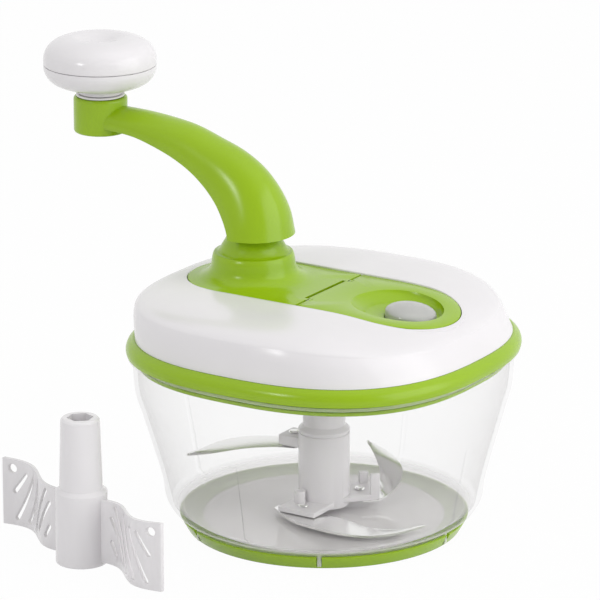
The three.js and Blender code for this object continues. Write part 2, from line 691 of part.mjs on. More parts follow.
function makeLidShell() {
  const foot = RIM_TOP + GAP;
  const skin = cut(underShell(0, foot), underShell(SHELL_WALL, foot - OVERRUN));
  const posts = Array.from({ length: SCREW_COUNT }, (_, i) => screwPost(i));
  const holes = Array.from({ length: SCREW_COUNT }, (_, i) => {
    const [x, y] = screwPlace(i);
    return rod(SCREW_RADIUS + GAP, foot - OVERRUN, COVER_UNDER + SCREW_LENGTH + GAP, x, y, TINY_STEPS);
  });
  const opening = prism(deckShape(GAP), DECK_UNDER - DROOP - SHELL_WALL, SHELL_TOP + OVERRUN);
  return cut(drooping(join(cut(join(skin, ...posts), opening), feedWell())), ...holes);
}

function makeCoverPlate() {
  const half = SKIRT_HALF - SKIRT_THICK - GAP;
  const plate = sweptSquare([
    [0, COVER_UNDER, 2],
    [half, COVER_UNDER, BOWL_SQUARENESS],
    [half, COVER_TOP, BOWL_SQUARENESS],
    [0, COVER_TOP, 2],
  ]);
  const tube = windowBody(GAP + FEED_TUBE_WALL, COVER_UNDER, TUBE_TOP);
  const feed = windowBody(GAP, COVER_UNDER - OVERRUN, TUBE_TOP + OVERRUN);
  const boss = rod(SPINDLE_BOSS_RADIUS, COVER_UNDER - SPINDLE_BOSS_DROP, COVER_TOP);
  const bore = rod(SPINDLE_BUSH_RADIUS + GAP, COVER_UNDER - SPINDLE_BOSS_DROP - OVERRUN,
    COVER_TOP + OVERRUN);
  const seat = rod(GEAR_HUB_RADIUS, COVER_UNDER, GEAR_UNDER - GAP, CRANK_X);
  const shaftHole = rod(SHAFT_RADIUS + GAP, COVER_UNDER - OVERRUN, GEAR_UNDER, CRANK_X);
  const holes = Array.from({ length: SCREW_COUNT }, (_, i) => {
    const [x, y] = screwPlace(i);
    return rod(SCREW_RADIUS + GAP, COVER_UNDER - OVERRUN, COVER_TOP + OVERRUN, x, y, TINY_STEPS);
  });
  return cut(join(plate, tube, boss, seat), feed, bore, shaftHole, ...holes);
}

function makeScrew(index) {
  const [x, y] = screwPlace(index);
  const headTop = COVER_UNDER - GAP;
  return turned([
    [0, headTop - SCREW_HEAD_HEIGHT],
    [SCREW_HEAD_RADIUS, headTop - SCREW_HEAD_HEIGHT / 2],
    [SCREW_HEAD_RADIUS, headTop],
    [SCREW_RADIUS, headTop],
    [SCREW_RADIUS, COVER_UNDER + SCREW_LENGTH - SCREW_RADIUS],
    [0, COVER_UNDER + SCREW_LENGTH],
  ], x, y, TINY_STEPS);
}

function rimScrewHoles() {
  return Array.from({ length: SCREW_COUNT }, (_, i) => {
    const [x, y] = screwPlace(i);
    return rod(SCREW_RADIUS + GAP, COVER_TOP, RIM_TOP + OVERRUN, x, y, TINY_STEPS);
  });
}

// Tower on the deck, turned round the crank's axis
function makeTower() {
  const rise = (height) => DECK_TOP + height;
  const wall = DECK_THICK;
  return turned([
    [TOWER_BORE_RADIUS, TOWER_TUBE_FOOT],
    [TOWER_BORE_RADIUS, TOWER_TOP],
    [TOWER_TOP_RADIUS, TOWER_TOP],
    [TOWER_CONE_RADIUS, rise(TOWER_STEP_HEIGHT + (TOWER_HEIGHT - TOWER_STEP_HEIGHT) / 2)],
    [(TOWER_CONE_RADIUS + TOWER_LEDGE_RADIUS) / 2, rise(TOWER_STEP_HEIGHT + wall / 2)],
    [TOWER_LEDGE_RADIUS, rise(TOWER_STEP_HEIGHT)],
    [TOWER_STEP_RADIUS, rise(TOWER_STEP_HEIGHT)],
    [TOWER_WALL_RADIUS, rise(TOWER_WALL_HEIGHT)],
    [(TOWER_WALL_RADIUS + TOWER_FLARE_RADIUS) / 2, rise(TOWER_WALL_HEIGHT / 4)],
    [TOWER_FLARE_RADIUS, DECK_TOP],
    [TOWER_FLARE_RADIUS, DECK_UNDER],
    [TOWER_WALL_RADIUS, DECK_UNDER],
    [TOWER_WALL_RADIUS - wall, rise(TOWER_WALL_HEIGHT)],
    [TOWER_STEP_RADIUS - wall, rise(TOWER_STEP_HEIGHT - wall)],
    [TOWER_TUBE_RADIUS, rise(TOWER_STEP_HEIGHT)],
    [TOWER_TUBE_RADIUS, TOWER_TUBE_FOOT],
  ], CRANK_X);
}

// The deck's ears that hold the hinge pin, and the bar that carries the pinion's bearing
function hingeEar(side) {
  const near = HINGE_BARREL_HALF + GAP;
  const [low, high] = side > 0 ? [near, near + HINGE_EAR_WIDTH] : [-near - HINGE_EAR_WIDTH, -near];
  const back = HINGE_X - HINGE_BARREL_RADIUS - SLOT_WIDTH - OVERRUN;
  return block([back, low, DECK_UNDER], [HINGE_X + HINGE_EAR_REACH, high, DECK_TOP]);
}

function makeDeck() {
  const seam = HINGE_X - SEAM_WIDTH;
  const plate = prism(deckShape(0, null, seam), DECK_UNDER, DECK_TOP);
  const well = rod(TOWER_WALL_RADIUS, DECK_UNDER - OVERRUN, DECK_TOP + OVERRUN, CRANK_X, 0, ROUND_STEPS);
  const slotBack = HINGE_X - HINGE_BARREL_RADIUS - SLOT_WIDTH;
  const slotHalf = HINGE_BARREL_HALF + GAP;
  const slot = block([slotBack, -slotHalf, DECK_UNDER - OVERRUN],
    [seam + OVERRUN, slotHalf, DECK_TOP + OVERRUN]);
  const groove = hingeRod(HINGE_BORE_RADIUS, slotHalf + HINGE_EAR_WIDTH + OVERRUN);
  const ledgeTop = DECK_UNDER - GAP;
  const bearingFoot = GEAR_UNDER + PINION_WIDTH + GAP;
  const bearing = rod(BEARING_RADIUS, bearingFoot, ledgeTop);
  const barBack = slotBack - 2 * BEARING_RADIUS;
  const bar = block([barBack, -BEARING_RADIUS / 2, bearingFoot], [0, BEARING_RADIUS / 2, ledgeTop]);
  const web = block([barBack, -BEARING_RADIUS / 2, ledgeTop - OVERRUN],
    [slotBack - OVERRUN, BEARING_RADIUS / 2, DECK_TOP - OVERRUN]);
  const bore = rod(JOURNAL_RADIUS + GAP, bearingFoot - OVERRUN, bearingFoot + JOURNAL_HEIGHT + GAP);
  const whole = join(cut(plate, well, slot), makeTower(), hingeEar(1), hingeEar(-1), bearing, bar, web);
  return cut(whole.intersect(prism(deckShape(0), 0, TOWER_TOP)), groove, bore);
}

// A rod along the hinge's axis
function hingeRod(radius, halfLength, steps = TINY_STEPS) {
  const geometry = new THREE.CylinderGeometry(radius, radius, 2 * halfLength, steps);
  return solidOf(geometry.translate(HINGE_X, 0, HINGE_Z));
}

// An ellipse of points round a middle, at one height
function ellipse(x, z, halfX, halfY, steps = ROUND_STEPS) {
  return Array.from({ length: steps }, (_, k) => {
    const angle = spread(k, steps);
    return [x + halfX * Math.cos(angle), halfY * Math.sin(angle), z];
  });
}

// A body with the feed window's outline, widened by a spare
function windowBody(spare, foot, top, far = 0) {
  const halves = [WINDOW_HALF_LENGTH + spare, WINDOW_HALF_WIDTH + spare];
  return loft([
    ellipse(WINDOW_X, foot, halves[0] - far, halves[1] - far),
    ellipse(WINDOW_X, top, ...halves),
  ]);
}

// The finger scoop as a body: sloped towards the deck side, steep at the far side
function scoopBody(spare, top, floor) {
  const depthShares = [0, 0.35, 0.7, 1];
  const inwardShares = [0, 0.03, 0.08, 0.16];
  const rings = depthShares.map((share, i) => {
    const shrink = 1 - inwardShares[i];
    const x = SCOOP_X + SCOOP_FLOOR_SHIFT * share;
    const z = top + (floor - top) * share;
    return ellipse(x, z, SCOOP_HALF_LENGTH * shrink + spare, SCOOP_HALF_WIDTH * shrink + spare);
  });
  return loft(rings.reverse());
}

function makeFeedCap() {
  const plate = prism(deckShape(0, HINGE_X), DECK_UNDER, DECK_TOP);
  const basin = scoopBody(SCOOP_WALL, DECK_TOP, SCOOP_FLOOR - SCOOP_WALL);
  const hollow = scoopBody(0, DECK_TOP, SCOOP_FLOOR);
  const mouth = loft([
    ellipse(SCOOP_X, DECK_TOP - SCOOP_WALL / 4, SCOOP_HALF_LENGTH, SCOOP_HALF_WIDTH),
    ellipse(SCOOP_X, DECK_TOP + OVERRUN, SCOOP_HALF_LENGTH + OVERRUN, SCOOP_HALF_WIDTH + OVERRUN),
  ]);
  const window = windowBody(0, SCOOP_FLOOR - SCOOP_WALL - OVERRUN, SCOOP_FLOOR + OVERRUN);
  const barrel = hingeRod(HINGE_BARREL_RADIUS, HINGE_BARREL_HALF, SMALL_STEPS);
  const low = HINGE_Z - 2 * HINGE_BARREL_RADIUS;
  const flat = block([HINGE_X - SLOT_WIDTH, -HINGE_BARREL_HALF, low],
    [HINGE_X + SLOT_WIDTH, HINGE_BARREL_HALF, DECK_TOP]);
  const bore = hingeRod(HINGE_BORE_RADIUS, HINGE_BARREL_HALF + OVERRUN);
  const whole = join(plate, basin, barrel.intersect(flat));
  const notches = [1, -1].map((side) => {
    const near = side > 0 ? HINGE_BARREL_HALF : -HINGE_BARREL_HALF - HINGE_EAR_WIDTH - GAP - GAP;
    return block([HINGE_X - OVERRUN, near, DECK_UNDER - OVERRUN],
      [HINGE_X + HINGE_EAR_REACH + GAP, near + HINGE_EAR_WIDTH + GAP + GAP, DECK_TOP + OVERRUN]);
  });
  return droopingAll(cut(whole, hollow, mouth, window, bore, ...notches));
}

function makeFeedPlug() {
  const lipFoot = PLUG_SEAT - PLUG_LIP;
  const domeShares = [[1, 0], [0.94, 0.42], [0.78, 0.72], [0.5, 0.93], [0.2, 1]];
  const ring = (spare, z, share = 1) => ellipse(WINDOW_X, z, (WINDOW_HALF_LENGTH + spare) * share,
    (WINDOW_HALF_WIDTH + spare) * share);
  return droopingAll(loft([
    ring(-PLUG_TAPER, lipFoot - PLUG_DEPTH),
    ring(-GAP, lipFoot),
    ring(FEED_TUBE_WALL, lipFoot),
    ring(FEED_TUBE_WALL, PLUG_SEAT),
    ring(-GAP, PLUG_SEAT),
    ...domeShares.map(([out, up]) => ring(-GAP, SCOOP_FLOOR + PLUG_DOME * up, out)),
  ]));
}

function makeTowerBush() {
  const outer = TOWER_BORE_RADIUS - GAP;
  const inner = SHAFT_RADIUS + GAP;
  return turned([
    [inner, TOWER_TUBE_FOOT - GAP - BUSH_FLANGE],
    [inner, TOWER_TOP],
    [outer, TOWER_TOP],
    [outer, TOWER_TUBE_FOOT - GAP],
    [BUSH_FLANGE_RADIUS, TOWER_TUBE_FOOT - GAP],
    [BUSH_FLANGE_RADIUS, TOWER_TUBE_FOOT - GAP - BUSH_FLANGE],
  ], CRANK_X, 0, SMALL_STEPS);
}

// Outline of a gear with involute flanks; phase is the angle of one tooth's middle.
function gearShape(teeth, phase) {
  const pitch = (GEAR_MODULE * teeth) / 2;
  const base = pitch * Math.cos(PRESSURE_ANGLE);
  const tip = pitch + GEAR_MODULE;
  const rootShare = 1.25;
  const root = pitch - rootShare * GEAR_MODULE;
  const involute = (angle) => Math.tan(angle) - angle;
  const half = Math.PI / (2 * teeth) - BACKLASH / (4 * pitch) + involute(PRESSURE_ANGLE);
  const start = Math.max(base, root);
  const flank = Array.from({ length: FLANK_STEPS + 1 }, (_, i) => {
    const radius = start + ((tip - start) * i) / FLANK_STEPS;
    return [radius, half - involute(Math.acos(Math.min(1, base / radius)))];
  });
  if (root < start) flank.unshift([root, flank[0][1]]);
  const points = [];
  for (let tooth = 0; tooth < teeth; tooth++) {
    const middle = phase + (2 * Math.PI * tooth) / teeth;
    flank.forEach(([r, t]) => points.push(polar(r, middle - t)));
    flank.slice().reverse()
      .forEach(([r, t]) => points.push(polar(r, middle + t)));
  }
  return new THREE.Shape(points);
}

function makeDriveGear() {
  const wheel = prism(gearShape(GEAR_TEETH, 0), GEAR_UNDER, GEAR_TOP).translate([CRANK_X, 0, 0]);
  const pocket = turned([
    [GEAR_POCKET_INNER, GEAR_TOP + OVERRUN],
    [GEAR_POCKET_INNER, GEAR_TOP - GEAR_POCKET_DEPTH],
    [GEAR_POCKET_OUTER, GEAR_TOP - GEAR_POCKET_DEPTH],
    [GEAR_POCKET_OUTER, GEAR_TOP + OVERRUN],
  ], CRANK_X);
  const hub = rod(GEAR_HUB_RADIUS, GEAR_UNDER, GEAR_TOP + GEAR_HUB_HEIGHT, CRANK_X);
  const bore = rod(SHAFT_RADIUS + GAP, GEAR_UNDER - OVERRUN, GEAR_TOP + 2 * OVERRUN, CRANK_X);
  return cut(join(cut(wheel, pocket), hub), bore);
}

function makePinionSpindle() {
  const phase = Math.PI * (1 + 1 / PINION_TEETH);
  const top = GEAR_UNDER + PINION_WIDTH;
  const pinion = prism(gearShape(PINION_TEETH, phase), GEAR_UNDER, top);
  const neckFoot = COVER_UNDER - SPINDLE_BOSS_DROP - CLIP_THICK - GAP - GAP;
  const neck = rod(SPINDLE_RADIUS, neckFoot - OVERRUN, GEAR_UNDER + OVERRUN);
  const driver = rod(DRIVER_RADIUS, DRIVER_FOOT, neckFoot, 0, 0, HEX_STEPS);
  const journal = rod(JOURNAL_RADIUS, top - OVERRUN, top + JOURNAL_HEIGHT);
  return join(pinion, neck, driver, journal);
}

function makeSpindleBush() {
  const foot = COVER_UNDER - SPINDLE_BOSS_DROP;
  const inner = SPINDLE_RADIUS + GAP;
  return turned([
    [inner, foot],
    [SPINDLE_BUSH_RADIUS, foot],
    [SPINDLE_BUSH_RADIUS, COVER_TOP + GAP],
    [SPINDLE_BOSS_RADIUS, COVER_TOP + GAP],
    [SPINDLE_BOSS_RADIUS, GEAR_UNDER - GAP],
    [inner, GEAR_UNDER - GAP],
  ], 0, 0, SMALL_STEPS);
}

// A retaining clip with an opening at one side
function makeClip(x, shaftRadius, outer, top) {
  const ring = cut(rod(outer, top - CLIP_THICK, top, x), rod(shaftRadius + GAP,
    top - CLIP_THICK - OVERRUN, top + OVERRUN, x));
  const mouth = block([x, -shaftRadius / 2, top - CLIP_THICK - OVERRUN],
    [x + outer + OVERRUN, shaftRadius / 2, top + OVERRUN]);
  return cut(ring, mouth);
}

function makeCrankShaft() {
  const clipTop = COVER_UNDER - GAP;
  const foot = clipTop - CLIP_THICK - GAP - CLIP_THICK;
  return turned([
    [0, foot],
    [SHAFT_RADIUS, foot],
    [SHAFT_RADIUS, SHAFT_TOP - OVERRUN],
    [SHAFT_RADIUS - OVERRUN, SHAFT_TOP],
    [0, SHAFT_TOP],
  ], CRANK_X, 0, SMALL_STEPS);
}

// The arm's stations: underside and crown in side view, as shares of the throw from the crank's
// axis and of the rise from the arm's foot to the boss's top, then the half width as a share
// of the hub's radius.
const armShares = [
  [1.0, 0.745, 1.0, 0.935, 0.5],
  [0.84, 0.747, 0.835, 0.932, 0.522],
  [0.7, 0.727, 0.688, 0.925, 0.54],
  [0.585, 0.681, 0.558, 0.908, 0.56],
  [0.441, 0.604, 0.388, 0.868, 0.595],
  [0.318, 0.51, 0.232, 0.788, 0.645],
  [0.218, 0.4, 0.088, 0.705, 0.71],
  [0.141, 0.284, -0.034, 0.587, 0.78],
  [0.086, 0.168, -0.129, 0.426, 0.862],
  [0.05, 0.076, -0.195, 0.228, 0.943],
  [0.03, 0, -0.225, 0, 1],
];

function armRing([underOut, underUp, crownOut, crownUp, width]) {
  const rise = KNOB_BOSS_TOP - ARM_FOOT;
  const under = [CRANK_X - CRANK_THROW * underOut, ARM_FOOT + rise * underUp];
  const crown = [CRANK_X - CRANK_THROW * crownOut, ARM_FOOT + rise * crownUp];
  const half = ARM_HUB_RADIUS * width;
  const edgeShare = 0.12;
  const at = (side, height) => [
    under[0] + (crown[0] - under[0]) * height,
    half * side,
    under[1] + (crown[1] - under[1]) * height,
  ];
  const crownSteps = 10;
  const over = Array.from({ length: crownSteps + 1 }, (_, i) => {
    const angle = Math.PI - (Math.PI * i) / crownSteps;
    return at(Math.cos(angle), edgeShare + (1 - edgeShare) * Math.sin(angle) ** 0.9);
  });
  const sideShares = [0.94, 0.5, 0, -0.5, -0.94];
  const below = sideShares.map((side) => at(side, (1 - side * side) * edgeShare / 2));
  return [...over, ...below];
}

function makeCrankArm() {
  const arm = loft(armShares.map(armRing));
  const round = KNOB_BOSS_ROUND;
  const boss = turned([
    [0, KNOB_BOSS_FOOT],
    [KNOB_BOSS_RADIUS - round, KNOB_BOSS_FOOT],
    [KNOB_BOSS_RADIUS, KNOB_BOSS_FOOT + round],
    [KNOB_BOSS_RADIUS, KNOB_BOSS_TOP - round],
    [KNOB_BOSS_RADIUS - round / 3, KNOB_BOSS_TOP - round / 3],
    [KNOB_BOSS_RADIUS - round, KNOB_BOSS_TOP],
    [0, KNOB_BOSS_TOP],
  ], KNOB_X);
  const socket = rod(ARM_SOCKET_RADIUS, ARM_FOOT, ARM_FOOT + ARM_SOCKET_HEIGHT, CRANK_X);
  const shaftBore = rod(SHAFT_RADIUS + GAP, ARM_FOOT - OVERRUN, SHAFT_TOP + GAP, CRANK_X);
  const pinBore = rod(KNOB_PIN_RADIUS + GAP, KNOB_BOSS_FOOT + KNOB_WALL, KNOB_BOSS_TOP + OVERRUN, KNOB_X);
  return cut(join(arm, boss, socket), shaftBore, pinBore);
}

// Knob: profiles as shares of its radius and of its two heights
const knobTopShares = [[0, 0.78], [0.17, 0.81], [0.32, 0.93], [0.47, 1], [0.63, 0.965], [0.79, 0.85],
  [0.91, 0.66], [0.975, 0.45], [1, 0.22], [1, 0]];
const knobLowShares = [[1, 1], [0.995, 0.84], [0.95, 0.62], [0.86, 0.43], [0.7, 0.28], [0.5, 0.2]];

function makeKnobTop() {
  const foot = KNOB_SEAM + GAP / 2;
  const outer = knobTopShares.map(([out, up]) => [KNOB_RADIUS * out, foot + KNOB_TOP_HEIGHT * up]);
  const inner = outer.slice().reverse().map(([radius, height]) => [
    Math.max(0, radius - KNOB_WALL * Math.min(1, radius / KNOB_RADIUS)),
    Math.max(foot, height - KNOB_WALL),
  ]);
  return turned([...outer, ...inner.slice(1)], KNOB_X);
}

function makeKnobBottom() {
  const top = KNOB_SEAM - GAP / 2;
  const depth = top - KNOB_FOOT;
  const outer = knobLowShares.map(([out, up]) => [KNOB_RADIUS * out, KNOB_FOOT + depth * up]);
  const floor = KNOB_FOOT + KNOB_FLOOR_THICK;
  const inner = outer.slice().reverse()
    .map(([radius, height]) => [radius - KNOB_WALL, Math.min(top, Math.max(floor, height + KNOB_WALL / 2))]);
  inner[0][1] = floor;
  inner[inner.length - 1][1] = top;
  return turned([
    [KNOB_PIN_RADIUS + GAP, KNOB_FOOT],
    [KNOB_NECK_RADIUS, KNOB_FOOT],
    ...outer.slice().reverse(),
    ...inner.slice().reverse(),
    [KNOB_PIN_RADIUS + GAP, floor],
  ], KNOB_X);
}

function makeKnobPin() {
  const headFoot = KNOB_FOOT + KNOB_FLOOR_THICK + GAP;
  const foot = KNOB_BOSS_FOOT + KNOB_WALL + GAP;
  return turned([
    [0, foot],
    [KNOB_PIN_RADIUS, foot],
    [KNOB_PIN_RADIUS, headFoot],
    [KNOB_PIN_HEAD_RADIUS, headFoot],
    [KNOB_PIN_HEAD_RADIUS, headFoot + KNOB_PIN_HEAD_HEIGHT],
    [0, headFoot + KNOB_PIN_HEAD_HEIGHT],
  ], KNOB_X, 0, SMALL_STEPS);
}

function makeKnobWasher() {
  const foot = KNOB_BOSS_TOP + GAP;
  const inner = KNOB_PIN_RADIUS + GAP;
  return turned([
    [inner, foot],
    [KNOB_WASHER_RADIUS, foot],
    [KNOB_WASHER_RADIUS, foot + KNOB_WASHER_THICK],
    [inner, foot + KNOB_WASHER_THICK],
  ], KNOB_X, 0, SMALL_STEPS);
}

// Cutter. A holder is a plate that stands out from the hub over the root of a blade.
function holder(angle, reach, half, bladeFoot, rivetShare) {
  const turn = THREE.MathUtils.radToDeg(angle);
  return { turn, reach, half, foot: bladeFoot + BLADE_THICK + GAP, rivetShare };
}
const holders = [
  holder(LOW_HOLDER_ANGLE, LOW_HOLDER_REACH, LOW_HOLDER_HALF, LOW_BLADE_Z, 0.74),
  holder(FIN_HOLDER_ANGLE, FIN_HOLDER_REACH, FIN_HOLDER_HALF, FIN_BLADE_Z, 0.72),
  holder(HIGH_HOLDER_ANGLE, HIGH_HOLDER_REACH, HIGH_HOLDER_HALF, HIGH_BLADE_Z, 0.78),
];

function holderPlate({ turn, reach, half, foot }, thick) {
  return turnedAbout(block([0, -half, foot], [reach, half, foot + thick]), turn);
}

function holderPost({ turn, reach, foot }, share, sideShare, radius, height) {
  const post = rod(radius, foot + HOLDER_THICK / 2, foot + HOLDER_THICK + height, reach * share,
    reach * sideShare, TINY_STEPS);
  return turnedAbout(post, turn);
}

function holderFence({ turn, reach, half, foot }, side, height) {
  const [low, high] = side > 0 ? [half - FENCE_THICK, half] : [-half, -half + FENCE_THICK];
  const fence = block([reach - FENCE_LENGTH, low, foot + HOLDER_THICK / 2],
    [reach, high, foot + HOLDER_THICK + height]);
  return turnedAbout(fence, turn);
}

function rivetHole({ turn, reach, foot, rivetShare }, radius, fromZ, toZ) {
  return turnedAbout(rod(radius, fromZ, toZ, reach * rivetShare, 0, TINY_STEPS), turn);
}

function makeCutterHub() {
  const [front, fin, high] = holders;
  const ringZ = HUB_SHOULDER - HUB_SHOULDER_HEIGHT;
  const post = turned([
    [0, HUB_FOOT],
    [HUB_RADIUS, HUB_FOOT],
    [HUB_RADIUS, ringZ - HUB_SHOULDER_HEIGHT / 2],
    [HUB_RADIUS - HUB_RING_DEPTH, ringZ - HUB_SHOULDER_HEIGHT / 2],
    [HUB_RADIUS - HUB_RING_DEPTH, ringZ],
    [HUB_RADIUS, ringZ],
    [HUB_RADIUS, HUB_SHOULDER - HUB_RING_DEPTH],
    [HUB_UPPER_RADIUS, HUB_SHOULDER + HUB_SHOULDER_HEIGHT],
    [HUB_UPPER_RADIUS, HUB_TOP - OVERRUN],
    [HUB_UPPER_RADIUS - OVERRUN, HUB_TOP],
    [0, HUB_TOP],
  ]);
  const plates = [
    holderPlate(front, HOLDER_THICK),
    holderPlate(fin, HOLDER_THICK),
    holderPlate(high, BLOCK_HEIGHT),
    holderPost(front, 0.6, -0.16, POST_RADIUS, POST_HEIGHT),
    holderFence(fin, -1, TALL_FENCE_HEIGHT),
    holderFence(fin, 1, SHORT_FENCE_HEIGHT),
  ];
  const socket = rod(SOCKET_RADIUS, SOCKET_FOOT, HUB_TOP + OVERRUN, 0, 0, HEX_STEPS);
  const pinBore = rod(PIN_RADIUS + GAP, HUB_FOOT - OVERRUN, PIN_TOP + GAP);
  const holes = holders.map((plate) =>
    rivetHole(plate, RIVET_RADIUS + GAP, HUB_FOOT - OVERRUN, plate.foot + BLOCK_HEIGHT + OVERRUN));
  return cut(join(post, ...plates), socket, pinBore, ...holes);
}

// A blade between two edges that meet near its tip. Both edges are lists of [x, y, z], and the
// blade's thickness runs along the normal of the strip between them.
function bladeBody(backEdge, cuttingEdge) {
  const vector = (p) => new THREE.Vector3(...p);
  const rings = backEdge.map((back, i) => {
    const last = Math.max(0, i - 1);
    const next = Math.min(backEdge.length - 1, i + 1);
    const along = vector(backEdge[next]).add(vector(cuttingEdge[next]))
      .sub(vector(backEdge[last])).sub(vector(cuttingEdge[last]));
    const across = vector(cuttingEdge[i]).sub(vector(back));
    const up = across.cross(along).normalize();
    const lift = up.multiplyScalar(up.z < 0 ? -BLADE_THICK : BLADE_THICK);
    const raised = (p) => vector(p).add(lift).toArray();
    return [back, cuttingEdge[i], raised(cuttingEdge[i]), raised(back)];
  });
  return loft(rings);
}

// Blade edges in shares of the blades' reach, and for the fin and the high blade also of its rise
const lowBackShares = [[-0.25, -0.36], [0.04, -0.54], [0.29, -0.592], [0.52, -0.595], [0.752, -0.525],
  [0.897, -0.34], [0.995, -0.08]];
const lowEdgeShares = [[-0.25, -0.25], [-0.06, -0.25], [0.19, -0.25], [0.41, -0.26], [0.62, -0.32],
  [0.82, -0.25], [0.985, -0.065]];
const finBackShares = [[0.3, 0.111, 0], [0.39, 0.229, 0], [0.444, 0.342, 0.167], [0.453, 0.462, 0.389],
  [0.385, 0.564, 0.611], [0.214, 0.632, 0.833], [0.009, 0.663, 1]];
const finEdgeShares = [[0.111, 0.265, 0], [0.263, 0.344, 0], [0.294, 0.383, 0.361], [0.256, 0.436, 0.639],
  [0.171, 0.504, 0.867], [0.086, 0.581, 0.956], [0, 0.653, 1.017]];
const highBackShares = [[-0.215, 0.1, 0], [-0.36, 0.085, 0], [-0.5, 0.045, 0.1], [-0.66, -0.06, 0.3],
  [-0.76, -0.22, 0.55], [-0.79, -0.4, 0.8], [-0.825, -0.555, 1]];
const highEdgeShares = [[-0.215, -0.07, 0], [-0.31, -0.1, 0], [-0.41, -0.155, 0.1], [-0.53, -0.25, 0.3],
  [-0.62, -0.36, 0.55], [-0.71, -0.47, 0.8], [-0.81, -0.56, 1]];

function bladeEdge(shares, reach, foot, rise) {
  return shares.map(([x, y, up = 0]) => [reach * x, reach * y, foot + rise * up]);
}

function makeBlade(holder, backShares, edgeShares, reach, foot, rise) {
  const blade = bladeBody(bladeEdge(backShares, reach, foot, rise), bladeEdge(edgeShares, reach, foot, rise));
  const hole = rivetHole(holder, RIVET_RADIUS + GAP, foot - OVERRUN, foot + BLADE_THICK + OVERRUN);
  const hubClear = rod(HUB_RADIUS + GAP, foot - BLOCK_HEIGHT, foot + FIN_RISE + BLOCK_HEIGHT);
  return cut(blade, hole, hubClear);
}

function makeRivet({ turn, reach, foot, rivetShare }, plateThick) {
  const headTop = foot - BLADE_THICK - GAP - GAP;
  const capFoot = foot + plateThick + GAP;
  const profile = [
    [0, headTop - RIVET_HEAD_HEIGHT],
    [RIVET_HEAD_RADIUS - RIVET_HEAD_HEIGHT, headTop - RIVET_HEAD_HEIGHT],
    [RIVET_HEAD_RADIUS, headTop],
    [RIVET_RADIUS, headTop],
    [RIVET_RADIUS, capFoot],
    [RIVET_HEAD_RADIUS, capFoot],
    [RIVET_HEAD_RADIUS - RIVET_HEAD_HEIGHT, capFoot + RIVET_HEAD_HEIGHT],
    [0, capFoot + RIVET_HEAD_HEIGHT],
  ];
  return turnedAbout(turned(profile, reach * rivetShare, 0, TINY_STEPS), turn);
}

// One wing of the paddle: a waved sheet with slanting slots and a round hole near its top corner
function paddleWing(side) {
  const root = HUB_RADIUS / 2;
  const length = PADDLE_HALF_SPAN - root;
  const shape = new THREE.Shape();
  const steps = 12;
  const topAt = (share) => WING_HEIGHT * (0.92 + 0.08 * share);
  shape.moveTo(0, 0);
  for (let i = 1; i <= steps; i++) shape.lineTo((length * i) / steps, 0);
  for (let i = steps; i >= 0; i--) shape.lineTo((length * i) / steps, topAt(i / steps));
  shape.closePath();
  for (let i = 0; i < WING_SLOTS; i++) shape.holes.push(wingSlot(i, length));
  const hole = new THREE.Path();
  const inset = 2.2 * WING_HOLE_RADIUS;
  hole.absarc(length - inset, WING_HEIGHT - inset, WING_HOLE_RADIUS, 0, 2 * Math.PI, true);
  shape.holes.push(hole);
  const settings = { depth: WING_THICK, bevelEnabled: false, curveSegments: SLOT_STEPS };
  const geometry = new THREE.ExtrudeGeometry(shape, settings);
  const place = geometry.getAttribute("position");
  for (let i = 0; i < place.count; i++) {
    const [along, up, across] = [place.getX(i), place.getY(i), place.getZ(i)];
    const wave = WING_WAVE * Math.sin((2 * Math.PI * along) / length);
    place.setXYZ(i, side * (root + along), side * (wave + across - WING_THICK / 2), WING_FOOT + up);
  }
  return solidOf(geometry);
}

// A slanting slot with round ends, its foot further out than its top
const slotFootShares = [[0.28, 0.18], [0.43, 0.18], [0.56, 0.11], [0.72, 0.11], [0.87, 0.12],
  [0.89, 0.52]];
const slotTopShares = [[0.22, 0.33], [0.22, 0.68], [0.27, 0.85], [0.465, 0.83], [0.65, 0.78],
  [0.77, 0.79]];

function wingSlot(index, length) {
  const path = new THREE.Path();
  const [foot, top] = [slotFootShares[index], slotTopShares[index]].map(([x, y]) =>
    new THREE.Vector2(length * x, WING_HEIGHT * y));
  const angle = Math.atan2(top.y - foot.y, top.x - foot.x);
  const radius = WING_SLOT_WIDTH / 2;
  path.absarc(top.x, top.y, radius, angle + Math.PI / 2, angle - Math.PI / 2, true);
  path.absarc(foot.x, foot.y, radius, angle - Math.PI / 2, angle + Math.PI / 2, true);
  path.closePath();
  return path;
}

function makePaddle() {
  const post = turned([
    [0, 0],
    [HUB_RADIUS, 0],
    [HUB_RADIUS, PADDLE_SHOULDER],
    [HUB_UPPER_RADIUS, PADDLE_SHOULDER + HUB_SHOULDER_HEIGHT],
    [HUB_UPPER_RADIUS - OVERRUN, PADDLE_HEIGHT - OVERRUN],
    [HUB_UPPER_RADIUS - 2 * OVERRUN, PADDLE_HEIGHT],
    [0, PADDLE_HEIGHT],
  ]);
  const socket = rod(SOCKET_RADIUS, PADDLE_HEIGHT - (HUB_TOP - SOCKET_FOOT), PADDLE_HEIGHT + OVERRUN,
    0, 0, HEX_STEPS);
  const pinBore = rod(PIN_RADIUS + GAP, -OVERRUN, PIN_TOP - HUB_FOOT + GAP);
  return cut(join(post, paddleWing(1), paddleWing(-1)), socket, pinBore);
}

